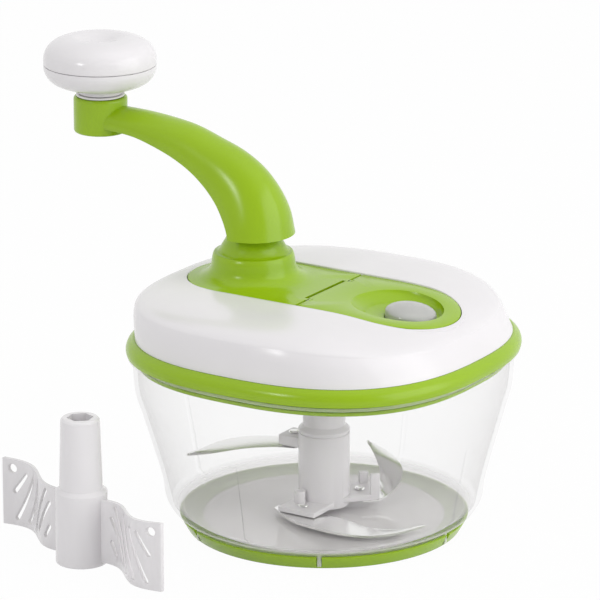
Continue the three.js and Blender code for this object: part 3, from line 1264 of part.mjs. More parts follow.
// The object
addPiece("bowl", makeBowl(), CLEAR);
addPiece("foot_ring", makeFootRing(), GREEN);
addPiece("foot_pad", makeFootPad(), PAD);
addPiece("centre_pin", makeCentrePin(), STEEL);
addPiece("lid_rim", cut(makeLidRim(), ...rimScrewHoles()), GREEN);
addPiece("lid_seal", makeLidSeal(), SILICONE);
addPiece("lid_shell", makeLidShell(), WHITE);
addPiece("cover_plate", makeCoverPlate(), WHITE);
for (let i = 0; i < SCREW_COUNT; i++) addPiece(`cover_screw_${i + 1}`, makeScrew(i), STEEL);
addPiece("deck", makeDeck(), GREEN);
addPiece("hinge_pin", hingeRod(HINGE_PIN_RADIUS, HINGE_BARREL_HALF + HINGE_EAR_WIDTH), STEEL);
addPiece("feed_cap", makeFeedCap(), GREEN);
addPiece("feed_plug", makeFeedPlug(), SILICONE);
addPiece("tower_bush", makeTowerBush(), NYLON);
addPiece("drive_gear", makeDriveGear(), NYLON);
addPiece("crank_shaft", makeCrankShaft(), STEEL);
addPiece("shaft_clip", makeClip(CRANK_X, SHAFT_RADIUS, CLIP_RADIUS, COVER_UNDER - GAP), STEEL);
addPiece("pinion_spindle", makePinionSpindle(), NYLON);
addPiece("spindle_bush", makeSpindleBush(), NYLON);
addPiece("spindle_clip", makeClip(0, SPINDLE_RADIUS, SPINDLE_BUSH_RADIUS,
  COVER_UNDER - SPINDLE_BOSS_DROP - GAP), STEEL);
addPiece("crank_arm", makeCrankArm(), GREEN);
addPiece("knob_pin", makeKnobPin(), STEEL);
addPiece("knob_washer", makeKnobWasher(), WHITE);
addPiece("knob_bottom", makeKnobBottom(), WHITE);
addPiece("knob_top", makeKnobTop(), WHITE);
addPiece("cutter_hub", makeCutterHub(), WHITE);
addPiece("low_blade", makeBlade(holders[0], lowBackShares, lowEdgeShares, BLADE_REACH, LOW_BLADE_Z, 0), STEEL);
addPiece("fin_blade", makeBlade(holders[1], finBackShares, finEdgeShares, BLADE_REACH, FIN_BLADE_Z,
  FIN_RISE), STEEL);
addPiece("high_blade", makeBlade(holders[2], highBackShares, highEdgeShares, HIGH_REACH, HIGH_BLADE_Z,
  -HIGH_DROOP), STEEL);
addPiece("low_blade_rivet", makeRivet(holders[0], HOLDER_THICK), STEEL);
addPiece("fin_blade_rivet", makeRivet(holders[1], HOLDER_THICK), STEEL);
addPiece("high_blade_rivet", makeRivet(holders[2], BLOCK_HEIGHT), STEEL);
const paddle = addPiece("mixing_paddle", makePaddle(), WHITE);
paddle.position.set(PADDLE_X, PADDLE_Y, 0);
paddle.rotation.z = PADDLE_TURN;

export default group;
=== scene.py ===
"""Dresses a hand cranked food chopper: bowl, foot, lid, feed cap, crank, knob, cutter and paddle.

Metres, +Z up. The bowl's axis is Z, and +X runs from the crank tower to the feed cap.
"""
import json
import math

import bmesh
import bpy
from bpy.props import FloatProperty, FloatVectorProperty, IntProperty, PointerProperty
from mathutils import Matrix, Vector


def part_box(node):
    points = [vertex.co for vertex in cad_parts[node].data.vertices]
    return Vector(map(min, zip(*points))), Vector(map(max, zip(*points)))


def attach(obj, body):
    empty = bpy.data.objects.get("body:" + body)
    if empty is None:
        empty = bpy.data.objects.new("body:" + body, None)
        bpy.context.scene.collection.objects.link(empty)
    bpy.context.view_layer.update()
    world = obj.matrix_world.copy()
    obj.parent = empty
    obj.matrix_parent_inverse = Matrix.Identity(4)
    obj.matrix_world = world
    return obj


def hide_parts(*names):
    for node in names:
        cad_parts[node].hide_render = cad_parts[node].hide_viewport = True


bl_info = {
    "name": "Crank Food Chopper",
    "version": (1, 0, 0),
    "blender": (4, 5, 0),
    "location": "View3D > Sidebar > Chopper",
    "description": "Models and finishes a hand cranked food chopper",
    "category": "Add Mesh",
}

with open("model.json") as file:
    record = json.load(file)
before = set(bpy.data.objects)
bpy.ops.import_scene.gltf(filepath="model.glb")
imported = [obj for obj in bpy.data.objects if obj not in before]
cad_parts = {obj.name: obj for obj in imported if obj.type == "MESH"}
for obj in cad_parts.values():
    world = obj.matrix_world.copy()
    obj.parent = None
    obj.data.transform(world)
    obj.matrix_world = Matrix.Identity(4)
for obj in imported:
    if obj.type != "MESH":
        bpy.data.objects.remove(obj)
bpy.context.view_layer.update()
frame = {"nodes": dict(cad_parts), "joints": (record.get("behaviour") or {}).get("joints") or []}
BOXES = {name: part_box(name) for name in frame["nodes"]}
JOINTS = {joint["name"]: joint for joint in frame["joints"]}

MM = 0.001
GAP = 0.3 * MM
MERGE = 0.5e-6
TURN = 2 * math.pi
SMOOTH_ANGLE = math.radians(32)
AROUND = 128
AROUND_SMALL = 48


def joint_x(name):
    """Place along X of a joint's axis."""
    return JOINTS[name]["pos_m"][0]


CRANK_X = joint_x("crank_turn")
KNOB_X = joint_x("knob_spin")
HINGE_X = joint_x("cap_hinge")
HINGE_Z = JOINTS["cap_hinge"]["pos_m"][2]


def length(name, description, value):
    """A length that a user can change, given in millimetres."""
    return FloatProperty(name=name, description=description, default=value * MM, min=0, unit="LENGTH",
                         precision=5)


def count(name, description, value):
    """A number of copies that a user can change."""
    return IntProperty(name=name, description=description, default=value, min=1, subtype="UNSIGNED")


def power(name, description, value):
    """The power of a lamp."""
    return FloatProperty(name=name, description=description, default=value, min=0, unit="POWER")


def place(name, description, value):
    """A shift or a distance that a user can change, given in metres."""
    return FloatProperty(name=name, description=description, default=value, unit="LENGTH")


def angle(name, description, degrees):
    """An angle that a user can change."""
    return FloatProperty(name=name, description=description, default=math.radians(degrees), subtype="ANGLE")


def colour(name, description, value):
    """A colour that a user can change."""
    return FloatVectorProperty(name=name, description=description, default=value, size=3, min=0, max=1,
                               subtype="COLOR")


class BowlSizes(bpy.types.PropertyGroup):
    """Sizes of the bowl and its foot"""

    wall: length("Wall", "Thickness of the clear wall", 1.9)
    rim_reach: length("Rim reach", "How far the rim's flange stands out from the wall", 2.2)
    rim_thick: length("Rim thickness", "Thickness of the rim's flange", 1.4)
    floor_thick: length("Floor thickness", "Thickness of the clear floor", 2.2)
    floor_flat: length("Floor flat", "Radius of the flat middle of the floor", 58)
    floor_edge: length("Floor edge", "Radius where the floor meets the wall's fillet", 66)
    floor_rise: length("Floor rise", "Height of the floor's edge over its middle", 1.8)
    squareness: FloatProperty(name="Squareness", description="Power of the rounded square at the rim",
                              default=2.55, min=2, max=6, subtype="FACTOR")
    rib_count: count("Ribs", "Upright ribs inside the wall", 4)
    rib_width: length("Rib width", "Width of a rib", 2.4)
    rib_depth: length("Rib depth", "How far a rib stands in from the wall", 1.6)
    rib_top: length("Rib top", "Height of a rib's top end", 48.7)
    lug_count: count("Lugs", "Clips that hold the foot ring", 6)
    foot_height: length("Foot height", "Height of the foot ring", 6.4)
    foot_bottom: length("Foot radius", "Radius of the foot ring on the table", 65)
    foot_hole: length("Foot hole", "Radius of the hole that holds the pad", 57.5)


class LidSizes(bpy.types.PropertyGroup):
    """Sizes of the lid, its deck, tower and feed cap"""

    shell_wall: length("Shell wall", "Thickness of the shell", 2.2)
    shell_round: length("Shell round", "How far in from its wall the shell gets flat", 33)
    lean: length("Lean", "How far the shell's top is set towards the crank", 3.5)
    droop: length("Droop", "How far the lid's top drops at the deck's front end", 5.2)
    droop_start: length("Droop start", "Place along the deck where the drop begins", 18.5)
    deck_top: length("Deck top", "Height of the deck's top", 115)
    deck_thick: length("Deck thickness", "Thickness of the deck and the cap", 2.5)
    deck_half_width: length("Deck half width", "Half the width of the deck", 30.3)
    flange_half: length("Flange half", "Half size of the hole in the rim's flange", 74)
    flange_thick: length("Flange thickness", "Thickness of the rim's flange", 1.8)
    skirt_thick: length("Skirt thickness", "Thickness of the rim's skirt", 2)
    seam: length("Seam", "Width of the seam before the cap", 0.95)
    scoop_x: length("Scoop place", "Middle of the finger scoop along the deck", 40)
    scoop_half_length: length("Scoop half length", "Half the length of the finger scoop", 21.6)
    scoop_half_width: length("Scoop half width", "Half the width of the finger scoop", 20.6)
    scoop_depth: length("Scoop depth", "Depth of the finger scoop", 4.6)
    scoop_wall: length("Scoop wall", "Wall under the finger scoop", 1.8)
    window_x: length("Window place", "Middle of the feed window along the deck", 45.5)
    window_half_length: length("Window half length", "Half the length of the feed window", 13.6)
    window_half_width: length("Window half width", "Half the width of the feed window", 15.2)
    plug_rise: length("Plug rise", "Height of the plug's upright wall over the scoop's floor", 2.6)
    plug_dome: length("Plug dome", "Rise of the plug's dome over its wall", 3.6)


class CrankSizes(bpy.types.PropertyGroup):
    """Sizes of the crank and its knob"""

    arm_foot: length("Arm foot", "Height of the arm's underside over the tower", 136.8)
    hub_radius: length("Hub radius", "Half the width of the arm over the tower", 19.5)
    socket_radius: length("Socket radius", "Radius of the socket round the shaft", 11.2)
    socket_height: length("Socket height", "Height of the socket round the shaft", 16)
    boss_radius: length("Boss radius", "Radius of the boss under the knob", 12.9)
    boss_foot: length("Boss foot", "Height of the boss's underside", 174)
    boss_top: length("Boss top", "Height of the boss's top", 191.4)
    boss_round: length("Boss round", "Radius of the boss's rounded edges", 1.4)
    knob_radius: length("Knob radius", "Radius of the knob", 27)
    knob_seam: length("Knob seam", "Height of the seam between the knob's halves", 207)
    knob_wall: length("Knob wall", "Wall of the knob's halves", 2.4)


class CutterSizes(bpy.types.PropertyGroup):
    """Sizes of the cutter and the paddle"""

    hub_radius: length("Hub radius", "Radius of the hub's lower part", 12.2)
    upper_radius: length("Upper radius", "Radius of the hub's upper part", 10.1)
    shoulder: length("Shoulder", "Height of the shoulder between the two", 47.5)
    socket_radius: length("Socket radius", "Corner radius of the hexagon socket", 6.3)
    blade_thick: length("Blade thickness", "Thickness of a blade", 1.1)
    blade_edge: length("Blade edge", "Thickness of a blade at its ground edge", 0.2)
    blade_reach: length("Blade reach", "Reach of the low and the fin blade", 58.5)
    high_reach: length("High blade reach", "Reach of the high blade", 65.5)
    holder_thick: length("Holder thickness", "Thickness of a blade holder", 2.5)
    wing_height: length("Wing height", "Height of the paddle's wings", 33)
    wing_foot: length("Wing foot", "Height of the wings over the table", 2)
    wing_thick: length("Wing thickness", "Thickness of the wings", 1.8)
    wing_wave: length("Wing wave", "How far the wings swing to each side", 4.5)
    half_span: length("Half span", "From the paddle's axis to a wing's end", 60.5)
    slot_width: length("Slot width", "Width of the slots in the wings", 2.3)
    wing_hole: length("Wing hole", "Radius of the round hole in a wing", 2.2)


class Finishes(bpy.types.PropertyGroup):
    """Colours of the chopper's materials"""

    green: colour("Green", "Lime green of the lid, crank and foot", (0.295, 0.475, 0.006))
    white: colour("White", "White of the shell, knob, hub and paddle", (0.79, 0.77, 0.785))
    clear: colour("Clear", "Tint of the bowl", (0.70, 0.68, 0.69))
    steel: colour("Steel", "Steel of the blades and pins", (0.88, 0.88, 0.87))
    pad: colour("Pad", "Soft pad under the bowl", (0.94, 0.94, 0.92))
    nylon: colour("Nylon", "Gears and bushes", (0.76, 0.74, 0.66))
    # The plug's grey is partly painted shade of the deep scoop round it, over its frosted tone.
    frost: colour("Frosted", "Plug under the feed window", (0.62, 0.62, 0.60))
    seal: colour("Seal", "Milky seal in the green groove", (0.46, 0.58, 0.26))


class StageSettings(bpy.types.PropertyGroup):
    """Camera and light"""

    lens: FloatProperty(name="Lens", description="Focal length", default=270, unit="CAMERA")
    azimuth: angle("Azimuth", "Turn of the view round the chopper", 32.2)
    elevation: angle("Elevation", "Height of the view over the horizon", 16.8)
    distance: place("Distance", "From the camera to the picture's plane", 2.1375)
    across: place("Across", "Shift of the view to the right", -0.0114)
    up: place("Up", "Shift of the view upwards", 0.105)
    floor_colour: colour("Floor", "Colour of the floor", (0.80, 0.80, 0.80))
    world_strength: FloatProperty(name="World", description="Strength of the light from all round",
                                  default=0.68, min=0, subtype="FACTOR")
    window_power: power("Window", "Power of the small lamp", 4)
    side_power: power("Side", "Power of the side lamp", 15)
    top_power: power("Top", "Power of the top lamp", 6)


# Curves and outlines

def through(stops, steps):
    """Points along a smooth curve through the stops, with this many steps from one to the next."""
    points = [Vector(stop) for stop in stops]
    gaps = [(after - before).length for before, after in zip(points, points[1:])]
    slopes = [(after - before) / gap for before, after, gap in zip(points, points[1:], gaps)]
    inner = [(slopes[i - 1] * gaps[i] + slopes[i] * gaps[i - 1]) / (gaps[i - 1] + gaps[i])
             for i in range(1, len(gaps))]
    tangents = [slopes[0], *inner, slopes[-1]]
    curve = []
    for i, gap in enumerate(gaps):
        for step in range(steps):
            t = step / steps
            left = 1 - t
            curve.append(points[i] * ((1 + 2 * t) * left * left) + tangents[i] * (t * left * left * gap)
                         + points[i + 1] * (t * t * (3 - 2 * t)) - tangents[i + 1] * (t * t * left * gap))
    return curve + [points[-1]]


ROUND_SHARE = 0.45  # of a side that the rounding of one of its corners may take
LEAST_TURN = math.radians(16)


def softened(stops, radius, steps=4):
    """The stops with their corners rounded to about this radius."""
    points = [Vector(stop) for stop in stops]
    rounded = [points[0]]
    for before, corner, after in zip(points, points[1:], points[2:]):
        back, ahead = before - corner, after - corner
        if back.length < MERGE or ahead.length < MERGE:
            rounded.append(corner)
            continue
        turn = math.pi - back.to_2d().angle(ahead.to_2d(), math.pi)
        if turn < LEAST_TURN:
            rounded.append(corner)
            continue
        reach = min(radius * math.tan(turn / 2), ROUND_SHARE * back.length, ROUND_SHARE * ahead.length)
        start, end = corner + back.normalized() * reach, corner + ahead.normalized() * reach
        for step in range(steps + 1):
            t = step / steps
            rounded.append(start * (1 - t) ** 2 + corner * (2 * t * (1 - t)) + end * t * t)
    return rounded + [points[-1]]


def even_angles(count):
    """Angles spread evenly round a full turn."""
    return [TURN * index / count for index in range(count)]


NEAR_SHARE = 0.3  # of an even step, within which an even angle gives way to an extra one


def with_angles(count, extra):
    """Even angles with some more put in, and with their near neighbours left out."""
    extra = sorted(angle % TURN for angle in extra)
    near = NEAR_SHARE * TURN / count
    apart = [a for a in even_angles(count)
             if all(abs((a - b + math.pi) % TURN - math.pi) > near for b in extra)]
    return sorted(apart + extra)


def square_reach(half, power, angle):
    """Distance from the axis to a rounded square of this half size, in one direction."""
    return half * (abs(math.cos(angle)) ** power + abs(math.sin(angle)) ** power) ** (-1 / power)


def square_ring(half, z, power, angles):
    """A ring of points along a rounded square."""
    reaches = [square_reach(half, power, angle) if half > 0 else 0 for angle in angles]
    return [(r * math.cos(a), r * math.sin(a), z) for r, a in zip(reaches, angles)]


def oval(x, z, half_x, half_y, angles):
    """A ring of points along an ellipse."""
    return [(x + half_x * math.cos(a), half_y * math.sin(a), z) for a in angles]


# Modelling

def clear_selection():
    """Nothing selected, in object mode."""
    if bpy.context.object and bpy.context.object.mode != "OBJECT":
        bpy.ops.object.mode_set(mode="OBJECT")
    bpy.ops.object.select_all(action="DESELECT")


def pick(piece):
    """Only this piece selected, and active."""
    clear_selection()
    piece.select_set(True)
    bpy.context.view_layer.objects.active = piece


def set_ring(piece, ring):
    """Moves the selected ring of edges to its points."""
    mesh = bmesh.from_edit_mesh(piece.data)
    order = mesh.verts.layers.int["order"]
    for vertex in mesh.verts:
        if vertex.select:
            vertex.co = ring[vertex[order]]
    bmesh.update_edit_mesh(piece.data)


def drawn(rings):
    """A closed piece drawn as one ring of edges that is extruded from ring to ring.

    Rings that meet close it: the last on the first, or both ends each on one point.
    """
    clear_selection()
    bpy.ops.mesh.primitive_circle_add(vertices=len(rings[0]), radius=1)
    piece = bpy.context.object
    bpy.ops.object.mode_set(mode="EDIT")
    bpy.ops.mesh.select_mode(type="VERT")
    bpy.ops.mesh.select_all(action="SELECT")
    mesh = bmesh.from_edit_mesh(piece.data)
    order = mesh.verts.layers.int.new("order")
    for index, vertex in enumerate(mesh.verts):
        vertex[order] = index
    set_ring(piece, rings[0])
    for ring in rings[1:]:
        bpy.ops.mesh.extrude_edges_indiv()
        set_ring(piece, ring)
    return closed(piece)


def closed(piece):
    """Merges what meets, turns the faces outwards and leaves edit mode."""
    bpy.ops.mesh.select_all(action="SELECT")
    bpy.ops.mesh.remove_doubles(threshold=MERGE)
    bpy.ops.mesh.normals_make_consistent(inside=False)
    bpy.ops.object.mode_set(mode="OBJECT")
    if "order" in piece.data.attributes:
        piece.data.attributes.remove(piece.data.attributes["order"])
    return piece


def turned(profile, x=0.0, y=0.0, count=AROUND):
    """A piece turned round an upright axis from a profile of radii and heights."""
    angles = even_angles(count)
    rings = [[(x + r * math.cos(a), y + r * math.sin(a), z) for a in angles] for r, z in profile]
    return drawn(rings)


def swept(outline, angles):
    """A piece swept round the axis along rounded squares: half sizes, heights and powers."""
    return drawn([square_ring(half, z, power, angles) for half, z, power in outline])


def box(low, high, bevel=0.0):
    """A block between two corners, with its edges bevelled."""
    clear_selection()
    low, high = Vector(low), Vector(high)
    bpy.ops.mesh.primitive_cube_add(size=1, location=(low + high) / 2, scale=high - low)
    block = bpy.context.object
    bpy.ops.object.transform_apply(location=True, rotation=True, scale=True)
    if bevel:
        bpy.ops.object.mode_set(mode="EDIT")
        bpy.ops.mesh.select_all(action="SELECT")
        bpy.ops.mesh.bevel(offset=bevel, segments=3, affect="EDGES")
        bpy.ops.object.mode_set(mode="OBJECT")
    return block


def rod(radius, foot, top, x=0.0, y=0.0, count=AROUND_SMALL):
    """An upright rod."""
    return turned([(0, foot), (radius, foot), (radius, top), (0, top)], x, y, count)


def cross_rod(radius, half_length, x, z, count=AROUND_SMALL):
    """A rod along Y."""
    piece = rod(radius, -half_length, half_length, count=count)
    piece.data.transform(Matrix.Translation((x, 0, z)) @ Matrix.Rotation(math.pi / 2, 4, "X"))
    return piece


def turn_about(piece, degrees):
    """Turns a piece's mesh about the bowl's axis."""
    piece.data.transform(Matrix.Rotation(math.radians(degrees), 4, "Z"))
    return piece


def combine(piece, tools, operation):
    """Joins tools to a piece or cuts them out of it."""
    for tool in tools:
        modifier = piece.modifiers.new("combine", "BOOLEAN")
        modifier.object = tool
        modifier.operation = operation
        modifier.solver = "EXACT"
        pick(piece)
        bpy.ops.object.modifier_apply(modifier=modifier.name)
        bpy.data.objects.remove(tool)
    return piece


def cut(piece, *tools):
    """Cuts the tools out of a piece."""
    return combine(piece, tools, "DIFFERENCE")


def join(piece, *tools):
    """Joins the tools to a piece."""
    return combine(piece, tools, "UNION")


def shape_by(piece, place):
    """Moves each corner of a piece to where the function puts it."""
    for vertex in piece.data.vertices:
        vertex.co = place(vertex.co)
    piece.data.update()
    return piece


def finish_piece(piece, name, body, node, kind):
    """Names, smooths and finishes a piece that stands for a CAD node."""
    pick(piece)
    bpy.ops.object.shade_smooth_by_angle(angle=SMOOTH_ANGLE)
    piece.name = piece.data.name = name
    piece.data.materials.clear()
    piece.data.materials.append(look(kind))
    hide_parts(node)
    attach(piece, body)


# Material nodes

class Signal:
    """One value in a material, on which arithmetic adds Math nodes."""

    def __init__(self, paint, socket):
        self.paint = paint
        self.socket = socket

    def _with(self, operation, first, second):
        settings = {"operation": operation}
        return self.paint.add("ShaderNodeMath", settings, {0: first, 1: second})[0]

    def __add__(self, other):
        return self._with("ADD", self, other)

    def __sub__(self, other):
        return self._with("SUBTRACT", self, other)

    def __rsub__(self, other):
        return self._with("SUBTRACT", other, self)

    def __mul__(self, other):
        return self._with("MULTIPLY", self, other)

    def __truediv__(self, other):
        return self._with("DIVIDE", self, other)

    def __rtruediv__(self, other):
        return self._with("DIVIDE", other, self)

    __radd__ = __add__
    __rmul__ = __mul__


class Paint:
    """The node tree of a material or of the world."""

    def __init__(self, owner, coordinates="Object"):
        self.owner = owner
        owner.use_nodes = True
        self.tree = owner.node_tree
        self.shader = self.tree.nodes.get("Principled BSDF")
        self.place = self.add("ShaderNodeTexCoord")[coordinates]

    def add(self, kind, settings=None, values=None):
        """Adds a node, sets it, feeds its sockets and gives its outputs by number or name."""
        node = self.tree.nodes.new(kind)
        for name, value in (settings or {}).items():
            setattr(node, name, value)
        for key, value in (values or {}).items():
            self.feed(node.inputs[key], value)
        return {key: Signal(self, socket) for index, socket in enumerate(node.outputs)
                for key in (index, socket.name)}

    def feed(self, socket, value):
        """Links a signal to a socket, or sets the socket to a value."""
        if isinstance(value, Signal):
            self.tree.links.new(value.socket, socket)
        else:
            socket.default_value = value

    def ramp(self, value, start, end, first, last):
        """A value that runs from first to last between two limits, and stays there past them."""
        limits = {"Value": value, "From Min": start, "From Max": end, "To Min": first, "To Max": last}
        return self.add("ShaderNodeMapRange", None, limits)[0]

    def noise(self, scale, detail=3.0, stretch=None):
        """Noise over the piece, from 0 to 1. Stretch scales it apart along X, Y and Z."""
        place = self.place
        if stretch:
            place = self.add("ShaderNodeMapping", None, {"Vector": place, "Scale": stretch})[0]
        values = {"Vector": place, "Scale": scale, "Detail": detail}
        return self.add("ShaderNodeTexNoise", None, values)[0]

    def blend(self, factor, first, second):
        """A colour between two colours."""
        return self.add("ShaderNodeMix", {"data_type": "RGBA"}, {0: factor, 6: first, 7: second})[2]

    def waver(self, factor, tone, low, high):
        """A tone that wavers between two shares of its brightness."""
        return self.blend(factor, shade(tone, low), shade(tone, high))

    def bump(self, height, strength, distance, normal=None):
        """A bumped normal from a height."""
        values = {"Height": height, "Strength": strength, "Distance": distance}
        if normal:
            values["Normal"] = normal
        return self.add("ShaderNodeBump", None, values)[0]

    def done(self, **values):
        """Sets the shader's sockets by name, with underscores for spaces, and gives the material."""
        for name, value in values.items():
            self.feed(self.shader.inputs[name.replace("_", " ")], value)
        return self.owner


def new_paint(name):
    """A new material's node tree."""
    return Paint(bpy.data.materials.new(name))


def shade(tone, factor):
    """A colour made lighter or darker, with full opacity."""
    return (*[min(1, channel * factor) for channel in tone], 1)


def moulded_plastic(name, tone, roughness, ior):
    """Glossy moulded plastic: faint clouds of colour, a ripple from the mould and fine scuffs."""
    paint = new_paint(name)
    clouds = paint.noise(22, 4)
    scuffs = paint.noise(900, 2, (1, 0.12, 0.5))
    ripple = paint.noise(140, 2)
    grain = paint.noise(2600, 1)
    normal = paint.bump(ripple, 0.05, 0.2 * MM)
    normal = paint.bump(grain, 0.03, 0.02 * MM, normal)
    return paint.done(
        Base_Color=paint.waver(clouds, tone, 0.95, 1.05),
        Roughness=scuffs * 0.07 + clouds * 0.05 + (roughness - 0.06),
        Normal=normal,
        IOR=ior,
    )


# Over these heights the floor is painted paler and more opaque: partly milky thick plastic, partly painted
# light.
CLEAR_FLOOR = (9 * MM, 12 * MM)  # heights between which the bowl's thick floor thins out to its wall


def clear_plastic(finishes):
    """Thin clear plastic: see-through face on, paler and glossier towards its edges, and paler and more
    opaque over its thick floor, which is partly milky plastic and partly painted light on the floor and the
    pad under it.
    """
    paint = new_paint("clear_bowl_plastic")
    haze = paint.noise(35, 3)
    ripple = paint.noise(60, 2, (1, 1, 0.4))
    normal = paint.bump(ripple, 0.04, 0.1 * MM)
    facing = paint.add("ShaderNodeLayerWeight", None, {"Blend": 0.5, "Normal": normal})["Facing"]
    front = 1 - paint.add("ShaderNodeNewGeometry")["Backfacing"]
    edge = facing * facing * facing
    height = paint.add("ShaderNodeSeparateXYZ", None, {"Vector": paint.place})["Z"]
    thick = paint.ramp(height, *CLEAR_FLOOR, 1.0, 0.0)
    return paint.done(
        # Paler base colour over the thick floor, partly painted light on the floor and the pad under it
        Base_Color=paint.waver(thick, finishes.clear, 1.05, 1.4),
        Roughness=haze * 0.04 + 0.04,
        Alpha=(edge * 0.6 + haze * 0.02 + 0.05 + thick * 0.4) * front,
        Normal=normal,
        IOR=1.5,
    )


def blade_steel(finishes):
    """Blade steel with long fine grinding lines."""
    paint = new_paint("blade_steel")
    lines = paint.noise(1600, 2, (1, 0.04, 0.6))
    clouds = paint.noise(40, 3)
    return paint.done(
        Base_Color=paint.waver(clouds, finishes.steel, 0.93, 1.08),
        Metallic=1.0,
        Roughness=lines * 0.05 + clouds * 0.05 + 0.17,
        Normal=paint.bump(lines, 0.03, 0.005 * MM),
    )


def turned_steel(finishes):
    """Turned steel of the pins, screws, clips and rivets."""
    paint = new_paint("turned_steel")
    rings = paint.noise(1500, 2, (0.15, 0.15, 1))
    return paint.done(
        Base_Color=paint.waver(rings, finishes.steel, 0.97, 1.12),
        Metallic=1.0,
        Roughness=rings * 0.1 + 0.17,
        Normal=paint.bump(rings, 0.08, 0.01 * MM),
    )


def pad_rubber(finishes):
    """Matt soft pad with a fine grain."""
    paint = new_paint("soft_pad_rubber")
    grain = paint.noise(1800, 3)
    clouds = paint.noise(18, 3)
    return paint.done(
        Base_Color=paint.waver(clouds, finishes.pad, 0.95, 1.04),
        Roughness=grain * 0.12 + 0.55,
        Normal=paint.bump(grain, 0.15, 0.05 * MM),
    )


def gear_nylon(finishes):
    """Satin nylon of the gears and bushes."""
    paint = new_paint("gear_nylon")
    clouds = paint.noise(60, 3)
    grain = paint.noise(2200, 2)
    return paint.done(
        Base_Color=paint.waver(clouds, finishes.nylon, 0.95, 1.05),
        Roughness=grain * 0.1 + 0.38,
        Normal=paint.bump(grain, 0.06, 0.03 * MM),
        Subsurface_Weight=0.08,
        Subsurface_Scale=0.6 * MM,
    )


def frosted_plastic(finishes):
    """Frosted see-through plastic of the feed plug, its grey partly painted shade of the deep scoop round it.
    """
    paint = new_paint("frosted_plug_plastic")
    haze = paint.noise(160, 4)
    return paint.done(
        Base_Color=paint.waver(haze, finishes.frost, 0.94, 1.06),
        Roughness=haze * 0.04 + 0.08,
        Normal=paint.bump(haze, 0.02, 0.03 * MM),
        Transmission_Weight=0.3,
        IOR=1.5,
    )


def seal_silicone(finishes):
    """Soft milky silicone of the lid's seal."""
    paint = new_paint("seal_silicone")
    haze = paint.noise(90, 3)
    return paint.done(
        Base_Color=paint.waver(haze, finishes.seal, 0.95, 1.05),
        Roughness=haze * 0.1 + 0.4,
        Subsurface_Weight=0.15,
        Subsurface_Scale=0.8 * MM,
    )


MAKERS = {
    "green": lambda finishes: moulded_plastic("lime_plastic", finishes.green, 0.24, 1.46),
    "white": lambda finishes: moulded_plastic("white_gloss_plastic", finishes.white, 0.2, 1.48),
    "clear": clear_plastic,
    "blade": blade_steel,
    "turned": turned_steel,
    "pad": pad_rubber,
    "nylon": gear_nylon,
    "frost": frosted_plastic,
    "seal": seal_silicone,
}
LOOKS = {}


def look(kind):
    """The material of this kind, made once."""
    if kind not in LOOKS:
        LOOKS[kind] = MAKERS[kind](bpy.context.scene.chopper_finishes)
    return LOOKS[kind]


# Bowl and foot

# Outer wall: share of its height, share of its top half size, share of its squareness
WALL_SHARES = [(0, 0.773, 0), (0.026, 0.798, 0), (0.057, 0.845, 0), (0.103, 0.879, 0), (0.24, 0.9, 0.1),
               (0.478, 0.943, 0.35), (0.665, 0.974, 0.65), (0.878, 0.997, 1), (1, 1, 1)]
INNER_WALL_START = 3  # the inner wall leaves out the stops below the floor's fillet
FOOT_LEDGE = 4.5 * MM
FOOT_LIP = 1.8 * MM
FOOT_SPREAD = 3.6 * MM
LUG_WIDTH = 2 * MM
LUG_DEPTH = 1.5 * MM
PAD_GROOVE_PLACE = 3.6 * MM
PAD_GROOVE = 0.6 * MM
PAD_ROUND = 0.4 * MM
PIN_RADIUS = 2.75 * MM
PIN_SEAT_DEPTH = 1.2 * MM
BOSS_RADIUS = 5.6 * MM
BOSS_HEIGHT = 2.2 * MM
BOWL_UNDER = FOOT_LEDGE + GAP
FLOOR_ROUND = 0.6 * MM


def bowl_half(sizes):
    """Half size of the bowl's wall at the rim."""
    return BOXES["bowl"][1].x - sizes.rim_reach


def wall_curve(sizes, inset, first=0):
    """The bowl's wall as a smooth list of half sizes, heights and powers."""
    top = BOXES["bowl"][1].z - sizes.rim_thick
    return [Vector((bowl_half(sizes) * out - inset, BOWL_UNDER + (top - BOWL_UNDER) * up,
                    2 + (sizes.squareness - 2) * square))
            for up, out, square in through(WALL_SHARES[first:], 6)]


def rib_inset(sizes, z, foot):
    """How far a rib stands in from the wall at a height."""
    if z < foot or z > sizes.rib_top + 2 * MM:
        return 0
    share = (z - foot) / (sizes.rib_top - foot)
    return sizes.rib_depth * (1 - 0.5 * share) if share <= 1 else 0


def inner_ring(sizes, stop, angles, foot):
    """A ring of the bowl's inner wall, with its ribs."""
    half, z, power = stop
    inset = rib_inset(sizes, z, foot)
    ring = []
    for angle in angles:
        reach = square_reach(half, power, angle)
        place = (angle + math.pi / sizes.rib_count) % (TURN / sizes.rib_count) - math.pi / sizes.rib_count
        if abs(place) * half <= 0.51 * sizes.rib_width:
            reach -= inset
        ring.append((reach * math.cos(angle), reach * math.sin(angle), z))
    return ring


